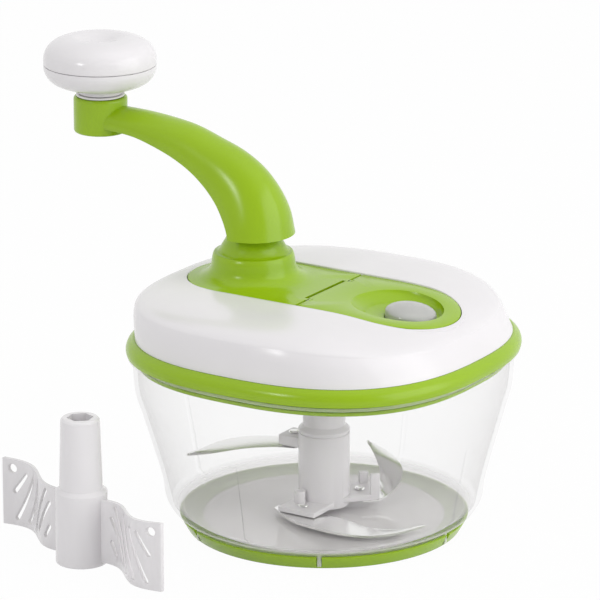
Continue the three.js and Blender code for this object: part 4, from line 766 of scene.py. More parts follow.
def make_bowl(sizes):
    """The clear bowl with its ribs, floor boss and foot clips."""
    top = BOXES["bowl"][1].z
    half = bowl_half(sizes)
    floor_top = BOWL_UNDER + sizes.floor_thick
    rim_out = half + sizes.rim_reach
    side = 0.5 * sizes.rib_width / half
    rib_angles = [TURN * i / sizes.rib_count + step * side for i in range(sizes.rib_count)
                  for step in (-1.25, -1, 0, 1, 1.25)]
    angles = with_angles(AROUND + 32, rib_angles)
    inner = wall_curve(sizes, sizes.wall, INNER_WALL_START)
    rim_foot = top - sizes.rim_thick
    rim = softened([(half, rim_foot - sizes.rim_thick, sizes.squareness), (half, rim_foot, sizes.squareness),
                    (rim_out, rim_foot, sizes.squareness), (rim_out, top, sizes.squareness),
                    (inner[-1].x, top, sizes.squareness),
                    (inner[-1].x, inner[-1].y - sizes.rim_thick, sizes.squareness)], 0.5 * MM)
    outer = [stop for stop in wall_curve(sizes, 0) if stop.y < rim[0].y]
    inner = [stop for stop in inner if stop.y < rim[-1].y]
    inner.reverse()
    seat = PIN_RADIUS + GAP
    floor = softened([tuple(inner[-1]), (sizes.floor_edge, floor_top + sizes.floor_rise, 2),
                      (sizes.floor_flat, floor_top, 2), (BOSS_RADIUS, floor_top, 2),
                      (BOSS_RADIUS, floor_top + BOSS_HEIGHT, 2), (seat, floor_top + BOSS_HEIGHT, 2),
                      (seat, floor_top - PIN_SEAT_DEPTH, 2)], FLOOR_ROUND)
    rings = [square_ring(h, z, p, angles) for h, z, p in [(0, BOWL_UNDER, 2), *outer, *rim]]
    foot = floor_top + sizes.floor_rise + sizes.wall
    rings += [inner_ring(sizes, stop, angles, foot) for stop in inner]
    rings += [square_ring(h, z, p, angles) for h, z, p in floor[1:]]
    rings.append(square_ring(0, floor_top - PIN_SEAT_DEPTH, 2, angles))
    bowl = drawn(rings)
    return join(bowl, *[foot_lug(sizes, i) for i in range(sizes.lug_count)])


def foot_lug(sizes, index, spare=0.0):
    """One clip of the bowl that shows in a notch of the foot ring."""
    reach = sizes.foot_bottom + FOOT_SPREAD - FOOT_LIP - LUG_DEPTH
    side = LUG_WIDTH / 2 + spare
    low = BOXES["bowl"][0].z
    outer = bowl_half(sizes) * WALL_SHARES[1][1]
    if spare:
        outer = sizes.foot_bottom + 2 * FOOT_SPREAD
    top = sizes.foot_height + (2 * MM if spare else GAP)
    lug = box((reach - spare, -side, low - spare), (outer, side, top), 0 if spare else 0.2 * MM)
    return turn_about(lug, 360 * index / sizes.lug_count)


def make_foot_ring(sizes):
    """The green ring under the bowl."""
    ledge = bowl_half(sizes) * WALL_SHARES[0][1] + GAP
    top = sizes.foot_bottom + FOOT_SPREAD
    profile = softened([(sizes.foot_hole, FOOT_LEDGE), (sizes.foot_hole, 0.8 * MM),
                        (sizes.foot_bottom - 5 * MM, 0), (sizes.foot_bottom, 0), (top, sizes.foot_height),
                        (top - FOOT_LIP, sizes.foot_height), (ledge, FOOT_LEDGE),
                        (sizes.foot_hole, FOOT_LEDGE)], 0.7 * MM)
    ring = turned(profile, count=AROUND + 64)
    return cut(ring, *[foot_lug(sizes, i, GAP) for i in range(sizes.lug_count)])


def make_foot_pad(sizes):
    """The soft disc that the bowl's floor rests on."""
    radius = sizes.foot_hole - GAP
    top, middle = FOOT_LEDGE, radius - PAD_GROOVE_PLACE
    return turned(softened([(0, 0), (radius, 0), (radius, top), (middle + PAD_GROOVE, top),
                            (middle, top - PAD_ROUND), (middle - PAD_GROOVE, top), (0, top)], PAD_ROUND))


def make_centre_pin():
    """The steel pin that the cutter turns on."""
    low, high = BOXES["centre_pin"]
    profile = [(0, low.z), (PIN_RADIUS, low.z), (PIN_RADIUS, high.z - PIN_RADIUS / 2),
               (PIN_RADIUS / 2, high.z), (0, high.z)]
    return turned(softened(profile, 0.5 * MM), count=AROUND_SMALL)


# Lid

RIM_BAND_SHARES = [(0.995, 0), (1, 0.28), (0.99, 0.7), (0.964, 1)]
# Side of the shell: shares of its round in from the wall and of its height
SHELL_SHARES = [(0, 0), (0.082, 0.68), (0.1, 0.742), (0.158, 0.812), (0.267, 0.878), (0.433, 0.934),
                (0.697, 0.977), (1, 1)]
SHELL_STEPS = 22
SHELL_CROWDING = 1.25  # how much closer the shell's rings lie near its wall
RIM_STAND = 4 * MM  # from the rim's edge in to the shell's wall
LEAN_STEEP = 1.4
# Tower: heights over the deck's top, and radii
TOWER = {name: value * MM for name, value in {
    "height": 21.2, "top": 11.8, "cone": 14.4, "ledge": 17.3, "step": 19.2, "step_height": 12.6,
    "step_round": 1.2, "wall": 21.3, "wall_height": 3.7, "flare": 29.4, "tube": 10.6, "bore": 8.3,
}.items()}
TUBE_FOOT = 104.7 * MM
TOWER_ROUND = 0.7 * MM
BARREL_RADIUS = 1.3 * MM
BARREL_HALF = 16.6 * MM
EAR_WIDTH = 3 * MM
EAR_REACH = 1.4 * MM
SLOT_WIDTH = 1.7 * MM
PLUG_LIP = 1.2 * MM
PLUG_DEPTH = 3 * MM
PLUG_TAPER = 1.6 * MM
PLUG_FLANGE = 1.8 * MM
PLUG_SHIFT = 1.6 * MM  # from the middle of the window to the middle of the dome
SCOOP_SHIFT = 3 * MM
SCOOP_DRAW = 0.16  # share of its size by which the scoop draws in towards its floor
SCOOP_ROUNDING = 1.6
SCOOP_STEPS = 8
EDGE = 0.5 * MM
SHELL_SEAM = 0.12 * MM
FEED_TUBE_WALL = 1.8 * MM
WELL_BACK = 11 * MM
WELL_WALL = 1.8 * MM
WELL_DROP = 0.6 * MM
WELL_STEP = 0.12 * MM  # from the edge of the shell's opening back to the well's wall


def deck_ends():
    """Rear and front ends of the deck and the cap together."""
    return BOXES["deck"][0].x, BOXES["feed_cap"][1].x


def droop_at(lid, x):
    """How far the lid's top has dropped at a place along the deck."""
    run = max(0, x - lid.droop_start) / (deck_ends()[1] - lid.droop_start)
    return lid.droop * run * run


def rim_top():
    """Height of the rim's top."""
    return BOXES["lid_rim"][1].z


def shell_foot():
    """Height of the shell's underside, just over the rim."""
    return rim_top() + SHELL_SEAM


def height_share(lid, z):
    """Share of the lid's height over its rim, from 0 at the rim to 1 at the deck."""
    foot = shell_foot()
    return max(0, min(1, (z - foot) / (lid.deck_top - foot)))


def make_lid_rim(lid, bowl):
    """The green rim with its flange and the skirt inside the bowl."""
    low, high = BOXES["lid_rim"]
    power = bowl.squareness
    foot = BOXES["bowl"][1].z + GAP
    band = [(high.x * out, foot + (high.z - foot) * up) for out, up in RIM_BAND_SHARES]
    skirt = bowl_half(bowl) - bowl.wall - 2 * GAP
    inner = skirt - lid.skirt_thick
    seal = BOXES["lid_seal"]
    groove = seal[0].x * -1 - 1.1 * MM - GAP * 1.5
    outline = [band[0], *through(band, 8)[1:], (lid.flange_half, high.z),
               (lid.flange_half, high.z - lid.flange_thick), (inner, high.z - lid.flange_thick),
               (inner, low.z), (skirt, low.z), (skirt, seal[0].z - GAP), (groove, seal[0].z - GAP),
               (groove, seal[1].z + GAP), (skirt, seal[1].z + GAP), (skirt, foot), band[0]]
    return swept([(h, z, power) for h, z in softened(outline, 0.5 * MM)], even_angles(AROUND))


def shell_curve(lid):
    """The side of the shell as distances in from its wall and heights, smoothed."""
    top = BOXES["lid_shell"][1].z
    foot = shell_foot()
    return [(lid.shell_round * inward, foot + (top - foot) * up) for inward, up in through(SHELL_SHARES, 6)]


def shell_height(curve, inward):
    """Height of the shell's skin at a distance in from its wall."""
    for (x0, z0), (x1, z1) in zip(curve, curve[1:]):
        if inward <= x1:
            return z0 + (z1 - z0) * max(0, (inward - x0) / max(x1 - x0, MERGE))
    return curve[-1][1]


def deck_reach(lid, angle, centre, back, front, spare=0.0):
    """From a centre on the deck's middle line to its outline. An end that is None is round."""
    half = lid.deck_half_width + spare
    rear, fore = deck_ends()
    c, s = math.cos(angle), math.sin(angle)
    reach = half / max(abs(s), 1e-9)
    x = centre + reach * c
    low = rear + lid.deck_half_width if back is None else back
    high = fore - lid.deck_half_width if front is None else front
    if low <= x <= high:
        return reach
    end, middle = (front, high) if x > high else (back, low)
    if end is not None:
        return (end - centre) / c
    ahead = middle - centre
    return ahead * c + math.sqrt(max(0, half * half - (ahead * s) ** 2))


def deck_ring(lid, angles, centre, z, spare=0.0, back=None, front=None):
    """A ring of points along the deck's outline."""
    ring = []
    for angle in angles:
        reach = deck_reach(lid, angle, centre, back, front, spare)
        ring.append((centre + reach * math.cos(angle), reach * math.sin(angle), z))
    return ring


def shell_place(lid, point):
    """A place on the upright shell as it lies on the leaning, drooping one."""
    x, y, z = point
    x -= lid.lean * min(1, height_share(lid, z) * LEAN_STEEP)
    return x, y, z - droop_at(lid, x) * height_share(lid, z)


def shell_rings(lid, power, angles, inset):
    """Rings of one skin of the shell, from the rim to the deck's opening."""
    curve = [(inward, z - inset) for inward, z in shell_curve(lid)]
    half = BOXES["lid_rim"][1].x - RIM_STAND - inset
    wall_end = lid.shell_round * SHELL_SHARES[3][0]
    rings = [square_ring(half - inward, z, power, angles) for inward, z in curve if inward <= wall_end]
    rings[0] = [(x, y, shell_foot()) for x, y, z in rings[0]]
    start = rings[-1]
    end = [(x + lid.lean, y, z) for x, y, z in deck_ring(lid, angles, 0, 0, GAP + 1.2 * EDGE)]
    for step in range(1, SHELL_STEPS + 1):
        share = (step / SHELL_STEPS) ** SHELL_CROWDING
        ring = []
        for a, b in zip(start, end):
            x, y = a[0] + (b[0] - a[0]) * share, a[1] + (b[1] - a[1]) * share
            reach = (abs(x) ** power + abs(y) ** power) ** (1 / power)
            ring.append((x, y, shell_height(curve, half - reach)))
        rings.append(ring)
    return [[shell_place(lid, point) for point in ring] for ring in rings]


def feed_well(lid):
    """The tray under the feed cap, with a floor round the feed tube and a wall before the gears."""
    centre = lid.scoop_x
    floor = BOXES["cover_plate"][1].z - WELL_DROP
    top = BOXES["lid_shell"][1].z - lid.shell_wall / 2
    front, half = WELL_BACK + WELL_WALL, lid.deck_half_width + GAP
    corners = [math.atan2(side * half, back - centre) for side in (1, -1) for back in (WELL_BACK, front)]
    angles = with_angles(AROUND, corners)

    def ring(z, spare, back):
        return deck_ring(lid, angles, centre, z, spare, back=back)

    foot, outer, inner = floor - WELL_WALL, GAP + WELL_WALL, GAP + WELL_STEP
    well = drawn([[(centre, 0, foot)] * len(angles), ring(foot, outer, WELL_BACK),
                  ring(top, outer, WELL_BACK), ring(top, inner, front), ring(floor, inner, front),
                  [(centre, 0, floor)] * len(angles)])
    under = lid.deck_top - lid.deck_thick - GAP
    back_top = box((WELL_BACK - MM, -2 * half, under), (front, 2 * half, top + MM))
    spare = 2 * GAP + FEED_TUBE_WALL
    tube = drawn([oval(lid.window_x, z, (lid.window_half_length + spare) * share,
                       (lid.window_half_width + spare) * share, even_angles(AROUND))
                  for z, share in ((foot - MM, 0), (foot - MM, 1), (floor + MM, 1), (floor + MM, 0))])
    well = cut(well, back_top, tube)
    return shape_by(well, lambda p: Vector((p.x, p.y, p.z - droop_at(lid, p.x) * height_share(lid, p.z))))


def make_lid_shell(lid, power):
    """The white shell of the lid, with the opening for the deck and the cap."""
    angles = even_angles(AROUND + 64)
    outer = shell_rings(lid, power, angles, 0)
    inner = shell_rings(lid, power, angles, lid.shell_wall)
    edge = []
    for drop, spare in ((0.25, 0.35), (0.85, 0.05), (1.2, 0)):
        outline = deck_ring(lid, angles, 0, 0, GAP + spare * EDGE)
        edge.append([(x, y, z - drop * EDGE) for (x, y, _), (_, _, z) in zip(outline, outer[-1])])
    outline = deck_ring(lid, angles, 0, 0, GAP)
    edge.append([(x, y, z) for (x, y, _), (_, _, z) in zip(outline, inner[-1])])
    return join(drawn([*outer, *edge, *inner[::-1], outer[0]]), feed_well(lid))


def make_deck(lid):
    """The green deck with the crank tower and the ears of the cap's hinge."""
    front = HINGE_X - lid.seam
    corner = math.atan2(lid.deck_half_width, front - CRANK_X)
    angles = with_angles(AROUND, [corner, -corner])
    top, under = lid.deck_top, lid.deck_top - lid.deck_thick
    tower = TOWER

    def circle(radius, z):
        return [(CRANK_X + radius * math.cos(a), radius * math.sin(a), z) for a in angles]

    def plate(z, spare):
        ring = deck_ring(lid, angles, CRANK_X, z, spare, front=front)
        return [(min(x, front + spare), y, z) for x, y, z in ring]

    below = [(tower["bore"], TUBE_FOOT), (tower["tube"], TUBE_FOOT),
             (tower["tube"], top + tower["step_height"]),
             (tower["step"] - lid.deck_thick, top + tower["step_height"] - lid.deck_thick),
             (tower["wall"] - lid.deck_thick, top + tower["wall_height"]), (tower["wall"], under)]
    step_top, step_round = top + tower["step_height"], tower["step_round"]
    flare = through([(tower["flare"], top),
                     ((tower["wall"] + tower["flare"]) / 2, top + tower["wall_height"] / 4),
                     (tower["wall"], top + tower["wall_height"]), (tower["step"], step_top - step_round)], 8)
    cone = through([(tower["step"], step_top - step_round), (tower["step"] - step_round / 2, step_top),
                    (tower["ledge"], step_top + step_round / 3),
                    (tower["cone"], (step_top + top + tower["height"]) / 2),
                    (tower["top"], top + tower["height"])], 8)
    above = softened([*flare, *cone[1:],
                      (tower["bore"], top + tower["height"]), (tower["bore"], TUBE_FOOT)], TOWER_ROUND)
    rings = [circle(*stop) for stop in below]
    rings += [plate(under, 0), plate(top - EDGE, 0), plate(top - 0.3 * EDGE, -0.3 * EDGE), plate(top, -EDGE)]
    rings += [circle(*stop) for stop in above]
    deck = drawn(rings)
    near = BARREL_HALF + GAP
    back = HINGE_X - BARREL_RADIUS - SLOT_WIDTH
    slot = box((back, -near, under - MM), (front + MM, near, top + MM))
    ears = [box((back - MM, min(side * near, side * (near + EAR_WIDTH)), under),
                (HINGE_X + EAR_REACH, max(side * near, side * (near + EAR_WIDTH)), top)) for side in (1, -1)]
    groove = cross_rod(0.85 * MM, near + EAR_WIDTH + MM, HINGE_X, HINGE_Z, 16)
    return cut(join(cut(deck, slot), *ears), groove)


def scoop_ring(lid, angles, share, spare, z):
    """A ring of the finger scoop at a share of its depth."""
    shrink = 1 - SCOOP_DRAW * share ** SCOOP_ROUNDING
    return oval(lid.scoop_x + SCOOP_SHIFT * share, z, lid.scoop_half_length * shrink + spare,
                lid.scoop_half_width * shrink + spare, angles)


def make_feed_cap(lid):
    """The green cap with its finger scoop and the window for the plug."""
    back = HINGE_X
    corner = math.atan2(lid.deck_half_width, back - lid.scoop_x)
    angles = with_angles(AROUND, [corner, -corner])
    top, under = lid.deck_top, lid.deck_top - lid.deck_thick
    floor = top - lid.scoop_depth
    basin = floor - lid.scoop_wall

    def plate(z, spare):
        ring = deck_ring(lid, angles, lid.scoop_x, z, spare, back=back)
        return [(max(x, back - spare), y, z) for x, y, z in ring]

    def window(z, spare=0.0):
        place, half = plug_circle(lid)
        return oval(place, z, half + GAP + spare, half + GAP + spare, angles)

    rings = [plate(under, 0), plate(top - EDGE, 0), plate(top - 0.3 * EDGE, -0.3 * EDGE), plate(top, -EDGE),
             scoop_ring(lid, angles, 0, 1.2 * EDGE, top),
             scoop_ring(lid, angles, 0, 0.35 * EDGE, top - 0.25 * EDGE)]
    for step in range(1, SCOOP_STEPS + 1):
        share = step / SCOOP_STEPS
        rings.append(scoop_ring(lid, angles, share, 0, top - EDGE + (floor + 2 * EDGE - top) * share))
    rings += [scoop_ring(lid, angles, 1, -0.6 * EDGE, floor + 0.3 * EDGE),
              scoop_ring(lid, angles, 1, -1.6 * EDGE, floor), window(floor, EDGE),
              window(floor - 0.3 * EDGE, 0.3 * EDGE), window(floor - EDGE), window(basin),
              scoop_ring(lid, angles, 1, lid.scoop_wall, basin),
              scoop_ring(lid, angles, 0.3, lid.scoop_wall, under), plate(under, 0)]
    cap = drawn(rings)
    low = HINGE_Z - 2 * BARREL_RADIUS
    flat = box((HINGE_X - SLOT_WIDTH, -2 * BARREL_HALF, low), (HINGE_X + SLOT_WIDTH, 2 * BARREL_HALF, top))
    barrel = combine(cross_rod(BARREL_RADIUS, BARREL_HALF, HINGE_X, HINGE_Z), [flat], "INTERSECT")
    cap = cut(join(cap, barrel), *[ear_notch(side, under, top) for side in (1, -1)])
    return shape_by(cap, lambda p: Vector((p.x, p.y, p.z - droop_at(lid, p.x))))


def ear_notch(side, under, top):
    """The room for one ear of the hinge in the cap's corner."""
    ends = sorted((side * BARREL_HALF, side * (BARREL_HALF + EAR_WIDTH + 2 * GAP)))
    return box((HINGE_X - MM, ends[0], under - MM), (HINGE_X + EAR_REACH + GAP, ends[1], top + MM))


def plug_circle(lid):
    """Middle and radius of the round part of the plug that shows in the cap's window."""
    return lid.window_x + PLUG_SHIFT, lid.window_half_length - PLUG_SHIFT


def make_feed_plug(lid):
    """The frosted plug under the window, with its shallow dome."""
    angles = even_angles(AROUND)
    floor = lid.deck_top - lid.scoop_depth
    seat = floor - lid.scoop_wall - GAP
    lip_foot = seat - PLUG_LIP
    dome = [(math.cos(t), math.sin(t)) for t in (math.pi / 2 * i / 12 for i in range(13))]
    stops = [(0, lip_foot - PLUG_DEPTH, -PLUG_TAPER), (1, lip_foot - PLUG_DEPTH, -PLUG_TAPER),
             (1, lip_foot, -GAP), (1, lip_foot, PLUG_FLANGE), (1, seat, PLUG_FLANGE)]
    rings = [oval(lid.window_x, z, (lid.window_half_length + spare) * max(0, share),
                  (lid.window_half_width + spare) * max(0, share), angles) for share, z, spare in stops]
    place, half = plug_circle(lid)
    wall_top = floor + lid.plug_rise
    rings.append(oval(place, seat, half, half, angles))
    rings += [oval(place, wall_top + lid.plug_dome * up, half * out, half * out, angles) for out, up in dome]
    plug = drawn(rings)
    return shape_by(plug, lambda p: Vector((p.x, p.y, p.z - droop_at(lid, p.x))))


# Crank and knob

# Stations of the arm: its underside and its crown in side view, as shares of the throw and of the
# rise, then its half width as a share of the hub's radius
ARM_SHARES = [(1.0, 0.745, 1.0, 0.935, 0.5), (0.84, 0.747, 0.835, 0.932, 0.522),
              (0.7, 0.727, 0.688, 0.925, 0.54), (0.585, 0.681, 0.558, 0.908, 0.56),
              (0.441, 0.604, 0.388, 0.868, 0.595), (0.318, 0.51, 0.232, 0.788, 0.645),
              (0.218, 0.4, 0.088, 0.705, 0.71), (0.141, 0.284, -0.034, 0.587, 0.78),
              (0.086, 0.168, -0.129, 0.426, 0.862), (0.05, 0.076, -0.195, 0.228, 0.943),
              (0.03, 0, -0.225, 0, 1)]
ARM_EDGE = 0.12  # height of the arm's widest place, as a share of its thickness
CROWN_STEPS = 32
CROWN_FULLNESS = 0.9
UNDER_STEPS = 8
UNDER_SHARE = 0.96  # width of the arm's underside, as a share of its whole width
KNOB_TOP_SHARES = [(0, 0.78), (0.17, 0.81), (0.32, 0.93), (0.47, 1), (0.63, 0.965), (0.79, 0.85),
                   (0.91, 0.66), (0.975, 0.45), (1, 0.22), (1, 0)]
KNOB_LOW_SHARES = [(1, 1), (0.995, 0.84), (0.95, 0.62), (0.86, 0.43), (0.7, 0.28), (0.5, 0.2)]
KNOB_NECK = 10.6 * MM
KNOB_PIN_RADIUS = 3 * MM
KNOB_FLOOR = 3 * MM
SHAFT_RADIUS = 4 * MM


def arm_ring(crank, stop):
    """A section of the arm: a round crown over a nearly flat underside."""
    under_out, under_up, crown_out, crown_up, width = stop
    throw, rise = CRANK_X - KNOB_X, crank.boss_top - crank.arm_foot
    under = Vector((CRANK_X - throw * under_out, crank.arm_foot + rise * under_up))
    crown = Vector((CRANK_X - throw * crown_out, crank.arm_foot + rise * crown_up))
    half = crank.hub_radius * width
    section = []
    for step in range(CROWN_STEPS + 1):
        angle = math.pi * step / CROWN_STEPS
        bulge = max(0, math.sin(angle)) ** CROWN_FULLNESS
        section.append((-math.cos(angle), ARM_EDGE + (1 - ARM_EDGE) * bulge))
    for step in range(UNDER_STEPS + 1):
        side = UNDER_SHARE * (1 - 2 * step / UNDER_STEPS)
        section.append((side, (1 - side * side) * ARM_EDGE / 2))
    places = [(under.lerp(crown, up), half * side) for side, up in section]
    return [(place.x, y, place.y) for place, y in places]


def flattened(ring):
    """All the points of a ring at its middle."""
    middle = sum((Vector(point) for point in ring), Vector((0, 0, 0))) / len(ring)
    return [tuple(middle)] * len(ring)


def make_crank_arm(crank):
    """The green arm with the boss under the knob and the socket round the shaft."""
    rings = [arm_ring(crank, stop) for stop in through(ARM_SHARES, 6)]
    arm = drawn([flattened(rings[0]), *rings, flattened(rings[-1])])
    boss = turned(softened([(0, crank.boss_foot), (crank.boss_radius, crank.boss_foot),
                            (crank.boss_radius, crank.boss_top), (0, crank.boss_top)], crank.boss_round, 6),
                  KNOB_X)
    socket = rod(crank.socket_radius, crank.arm_foot, crank.arm_foot + crank.socket_height, CRANK_X)
    bore = rod(SHAFT_RADIUS + GAP, crank.arm_foot - MM, BOXES["crank_shaft"][1].z + GAP, CRANK_X)
    pin_bore = rod(KNOB_PIN_RADIUS + GAP, crank.boss_foot + crank.knob_wall, crank.boss_top + MM, KNOB_X)
    return cut(join(arm, boss, socket), bore, pin_bore)


def make_knob_top(crank):
    """The knob's upper half with its dished crown."""
    foot, top = crank.knob_seam + GAP / 2, BOXES["knob_top"][1].z
    outer = [(crank.knob_radius * out, foot + (top - foot) * up) for out, up in through(KNOB_TOP_SHARES, 5)]
    outer = softened([*outer, (crank.knob_radius - crank.knob_wall, foot)], 0.4 * MM)
    outer[0].x = 0
    ceiling = top - 2 * crank.knob_wall - 2 * MM
    inner = [(crank.knob_radius - crank.knob_wall, foot), (0.8 * crank.knob_radius, ceiling), (0, ceiling)]
    return turned([*outer, *inner], KNOB_X)


def make_knob_bottom(crank):
    """The knob's lower half, down to its neck."""
    foot, top = BOXES["knob_bottom"][0].z, crank.knob_seam - GAP / 2
    outer = [(crank.knob_radius * out, foot + (top - foot) * up) for out, up in through(KNOB_LOW_SHARES, 5)]
    floor = foot + KNOB_FLOOR
    inner = crank.knob_radius - crank.knob_wall
    stops = [(inner, top), *outer, (KNOB_NECK, foot + 1.2 * MM), (KNOB_NECK, foot),
             (KNOB_PIN_RADIUS + GAP, foot), (KNOB_PIN_RADIUS + GAP, floor), (0.55 * inner, floor),
             (0.86 * inner, floor + 4 * MM), (inner, top - 3 * MM), (inner, top)]
    return turned(softened(stops, 0.4 * MM), KNOB_X)


def make_knob_washer():
    """The thin white washer between the boss and the knob."""
    low, high = BOXES["knob_washer"]
    radius, hole = (high.x - low.x) / 2, KNOB_PIN_RADIUS + GAP
    stops = [(hole, low.z), (radius, low.z), (radius, high.z), (hole, high.z), (hole, low.z)]
    return turned(softened(stops, 0.25 * MM), KNOB_X)


# Cutter

# Blade holders: turn round the hub in degrees, then sizes in metres
HOLDERS = {
    "low": {"turn": 270, "reach": 25 * MM, "half": 10 * MM, "rivet": 0.74},
    "fin": {"turn": 48, "reach": 24.5 * MM, "half": 10.5 * MM, "rivet": 0.72},
    "high": {"turn": 180, "reach": 21.5 * MM, "half": 6.5 * MM, "rivet": 0.78},
}
HOLDER_ROUND = 0.4 * MM
POST_RADIUS = 2.6 * MM
POST_SHARES = (0.6, -0.16)  # place on its holder, as shares of the holder's reach
POST_HEIGHT = 6 * MM
FENCE_THICK = 2.2 * MM
FENCE_LENGTH = 4.5 * MM
FENCE_HEIGHTS = (10.5 * MM, 5.5 * MM)
BLOCK_HEIGHT = 5 * MM
FIN_RISE = 18 * MM
HIGH_DROOP = 1.6 * MM
HUB_RING = 0.5 * MM
HUB_ROUND = 0.6 * MM
AROUND_HUB = 96
SHOULDER_HEIGHT = 1.6 * MM
SOCKET_DEPTH = 21.6 * MM
# Blade edges: shares of the reach along X and Y, then of the rise
BLADES = {
    "low": (((-0.25, -0.36, 0), (0.04, -0.54, 0), (0.29, -0.592, 0), (0.52, -0.595, 0), (0.752, -0.525, 0),
             (0.897, -0.34, 0), (0.995, -0.08, 0)),
            ((-0.25, -0.25, 0), (-0.06, -0.25, 0), (0.19, -0.25, 0), (0.41, -0.26, 0), (0.62, -0.32, 0),
             (0.82, -0.25, 0), (0.985, -0.065, 0))),
    "fin": (((0.3, 0.111, 0), (0.39, 0.229, 0), (0.444, 0.342, 0.167), (0.453, 0.462, 0.389),
             (0.385, 0.564, 0.611), (0.214, 0.632, 0.833), (0.009, 0.663, 1)),
            ((0.111, 0.265, 0), (0.263, 0.344, 0), (0.294, 0.383, 0.361), (0.256, 0.436, 0.639),
             (0.171, 0.504, 0.867), (0.086, 0.581, 0.956), (0, 0.653, 1.017))),
    "high": (((-0.215, 0.1, 0), (-0.36, 0.085, 0), (-0.5, 0.045, 0.1), (-0.66, -0.06, 0.3),
              (-0.76, -0.22, 0.55), (-0.79, -0.4, 0.8), (-0.825, -0.555, 1)),
             ((-0.215, -0.07, 0), (-0.31, -0.1, 0), (-0.41, -0.155, 0.1), (-0.53, -0.25, 0.3),
              (-0.62, -0.36, 0.55), (-0.71, -0.47, 0.8), (-0.81, -0.56, 1))),
}
GRIND_SHARE = 0.62  # how far across a blade its grinding starts
RIVET_RADIUS = 1.5 * MM
RIVET_HEAD = 2.7 * MM
RIVET_RISE = 0.8 * MM
RIVET_ROUND = 0.5 * MM
AROUND_RIVET = 32


def blade_foot(name):
    """Height of a blade's flat root."""
    low, _ = BOXES[name + "_blade"]
    return low.z + (HIGH_DROOP if name == "high" else 0)


def holder_foot(sizes, name):
    """Height of a holder's underside, over its blade."""
    return blade_foot(name) + sizes.blade_thick + GAP


def holder_plate(sizes, name, thick):
    """The plate that stands out from the hub over a blade's root."""
    holder, foot = HOLDERS[name], holder_foot(sizes, name)
    plate = box((0, -holder["half"], foot), (holder["reach"], holder["half"], foot + thick), HOLDER_ROUND)
    return turn_about(plate, holder["turn"])


def holder_fence(sizes, side, height):
    """One of the two fences on the fin blade's holder."""
    holder, foot = HOLDERS["fin"], holder_foot(sizes, "fin")
    ends = sorted((side * holder["half"], side * (holder["half"] - FENCE_THICK)))
    top = foot + sizes.holder_thick + height
    low = (holder["reach"] - FENCE_LENGTH, ends[0], foot + MM)
    fence = box(low, (holder["reach"], ends[1], top), HOLDER_ROUND)
    return turn_about(fence, holder["turn"])


def holder_post(sizes):
    """The round post on the low blade's holder."""
    holder, foot = HOLDERS["low"], holder_foot(sizes, "low")
    top = foot + sizes.holder_thick + POST_HEIGHT
    profile = [(0, foot + MM), (POST_RADIUS, foot + MM), (POST_RADIUS, top), (0, top)]
    x, y = [share * holder["reach"] for share in POST_SHARES]
    post = turned(softened(profile, HOLDER_ROUND), x, y, AROUND_SMALL)
    return turn_about(post, holder["turn"])


def hex_socket(sizes, foot, top):
    """A tool for the hexagon socket at the top of a hub."""
    return rod(sizes.socket_radius, foot, top + MM, count=6)


def make_cutter_hub(sizes):
    """The white hub with the three blade holders."""
    low, high = BOXES["cutter_hub"]
    ring_top = sizes.shoulder - SHOULDER_HEIGHT
    ring_foot = ring_top - SHOULDER_HEIGHT / 2
    foot = low.z
    profile = [(0, foot), (sizes.hub_radius, foot), (sizes.hub_radius, ring_foot),
               (sizes.hub_radius - HUB_RING, ring_foot), (sizes.hub_radius - HUB_RING, ring_top),
               (sizes.hub_radius, ring_top), (sizes.hub_radius, sizes.shoulder - HUB_RING),
               (sizes.upper_radius, sizes.shoulder + SHOULDER_HEIGHT), (sizes.upper_radius, high.z),
               (0, high.z)]
    hub = turned(softened(profile, HUB_ROUND), count=AROUND_HUB)
    thick = {"low": sizes.holder_thick, "fin": sizes.holder_thick, "high": BLOCK_HEIGHT}
    hub = join(hub, *[holder_plate(sizes, name, thick[name]) for name in thick], holder_post(sizes),
               holder_fence(sizes, -1, FENCE_HEIGHTS[0]), holder_fence(sizes, 1, FENCE_HEIGHTS[1]))
    bore = rod(PIN_RADIUS + GAP, foot - MM, BOXES["centre_pin"][1].z + GAP)
    return cut(hub, hex_socket(sizes, high.z - SOCKET_DEPTH, high.z), bore)


def make_blade(sizes, name):
    """A blade between two smooth edges, ground thin towards its cutting edge."""
    reach = sizes.high_reach if name == "high" else sizes.blade_reach
    rise = {"low": 0, "fin": FIN_RISE, "high": -HIGH_DROOP}[name]
    foot = blade_foot(name)
    back, edge = [[Vector((reach * x, reach * y, foot + rise * up)) for x, y, up in through(side, 6)]
                  for side in BLADES[name]]
    rings = []
    for i, (near, far) in enumerate(zip(back, edge)):
        last, after = max(0, i - 1), min(len(back) - 1, i + 1)
        along = back[after] + edge[after] - back[last] - edge[last]
        up = (far - near).cross(along).normalized()
        if up.z < 0:
            up.negate()
        grind = near.lerp(far, GRIND_SHARE)
        rings.append([near, grind, far, far + up * sizes.blade_edge, grind + up * sizes.blade_thick,
                      near + up * sizes.blade_thick])
    blade = drawn([flattened(rings[0]), *rings, flattened(rings[-1])])
    clear = rod(sizes.hub_radius + GAP, foot - 2 * MM, foot + FIN_RISE + 4 * MM)
    return cut(blade, clear)


def make_rivet(name):
    """A rivet through a holder and its blade, with a low domed head at each end."""
    low, high = BOXES[name + "_blade_rivet"]
    holder = HOLDERS[name]
    head, rise = RIVET_HEAD, RIVET_RISE
    head_top, cap_foot = low.z + rise, high.z - rise
    profile = softened([(0, low.z), (head - rise, low.z), (head, head_top), (RIVET_RADIUS, head_top),
                        (RIVET_RADIUS, cap_foot), (head, cap_foot), (head - rise, high.z), (0, high.z)],
                       RIVET_ROUND)
    rivet = turned(profile, holder["reach"] * holder["rivet"], 0, AROUND_RIVET)
    return turn_about(rivet, holder["turn"])


# Mixing paddle

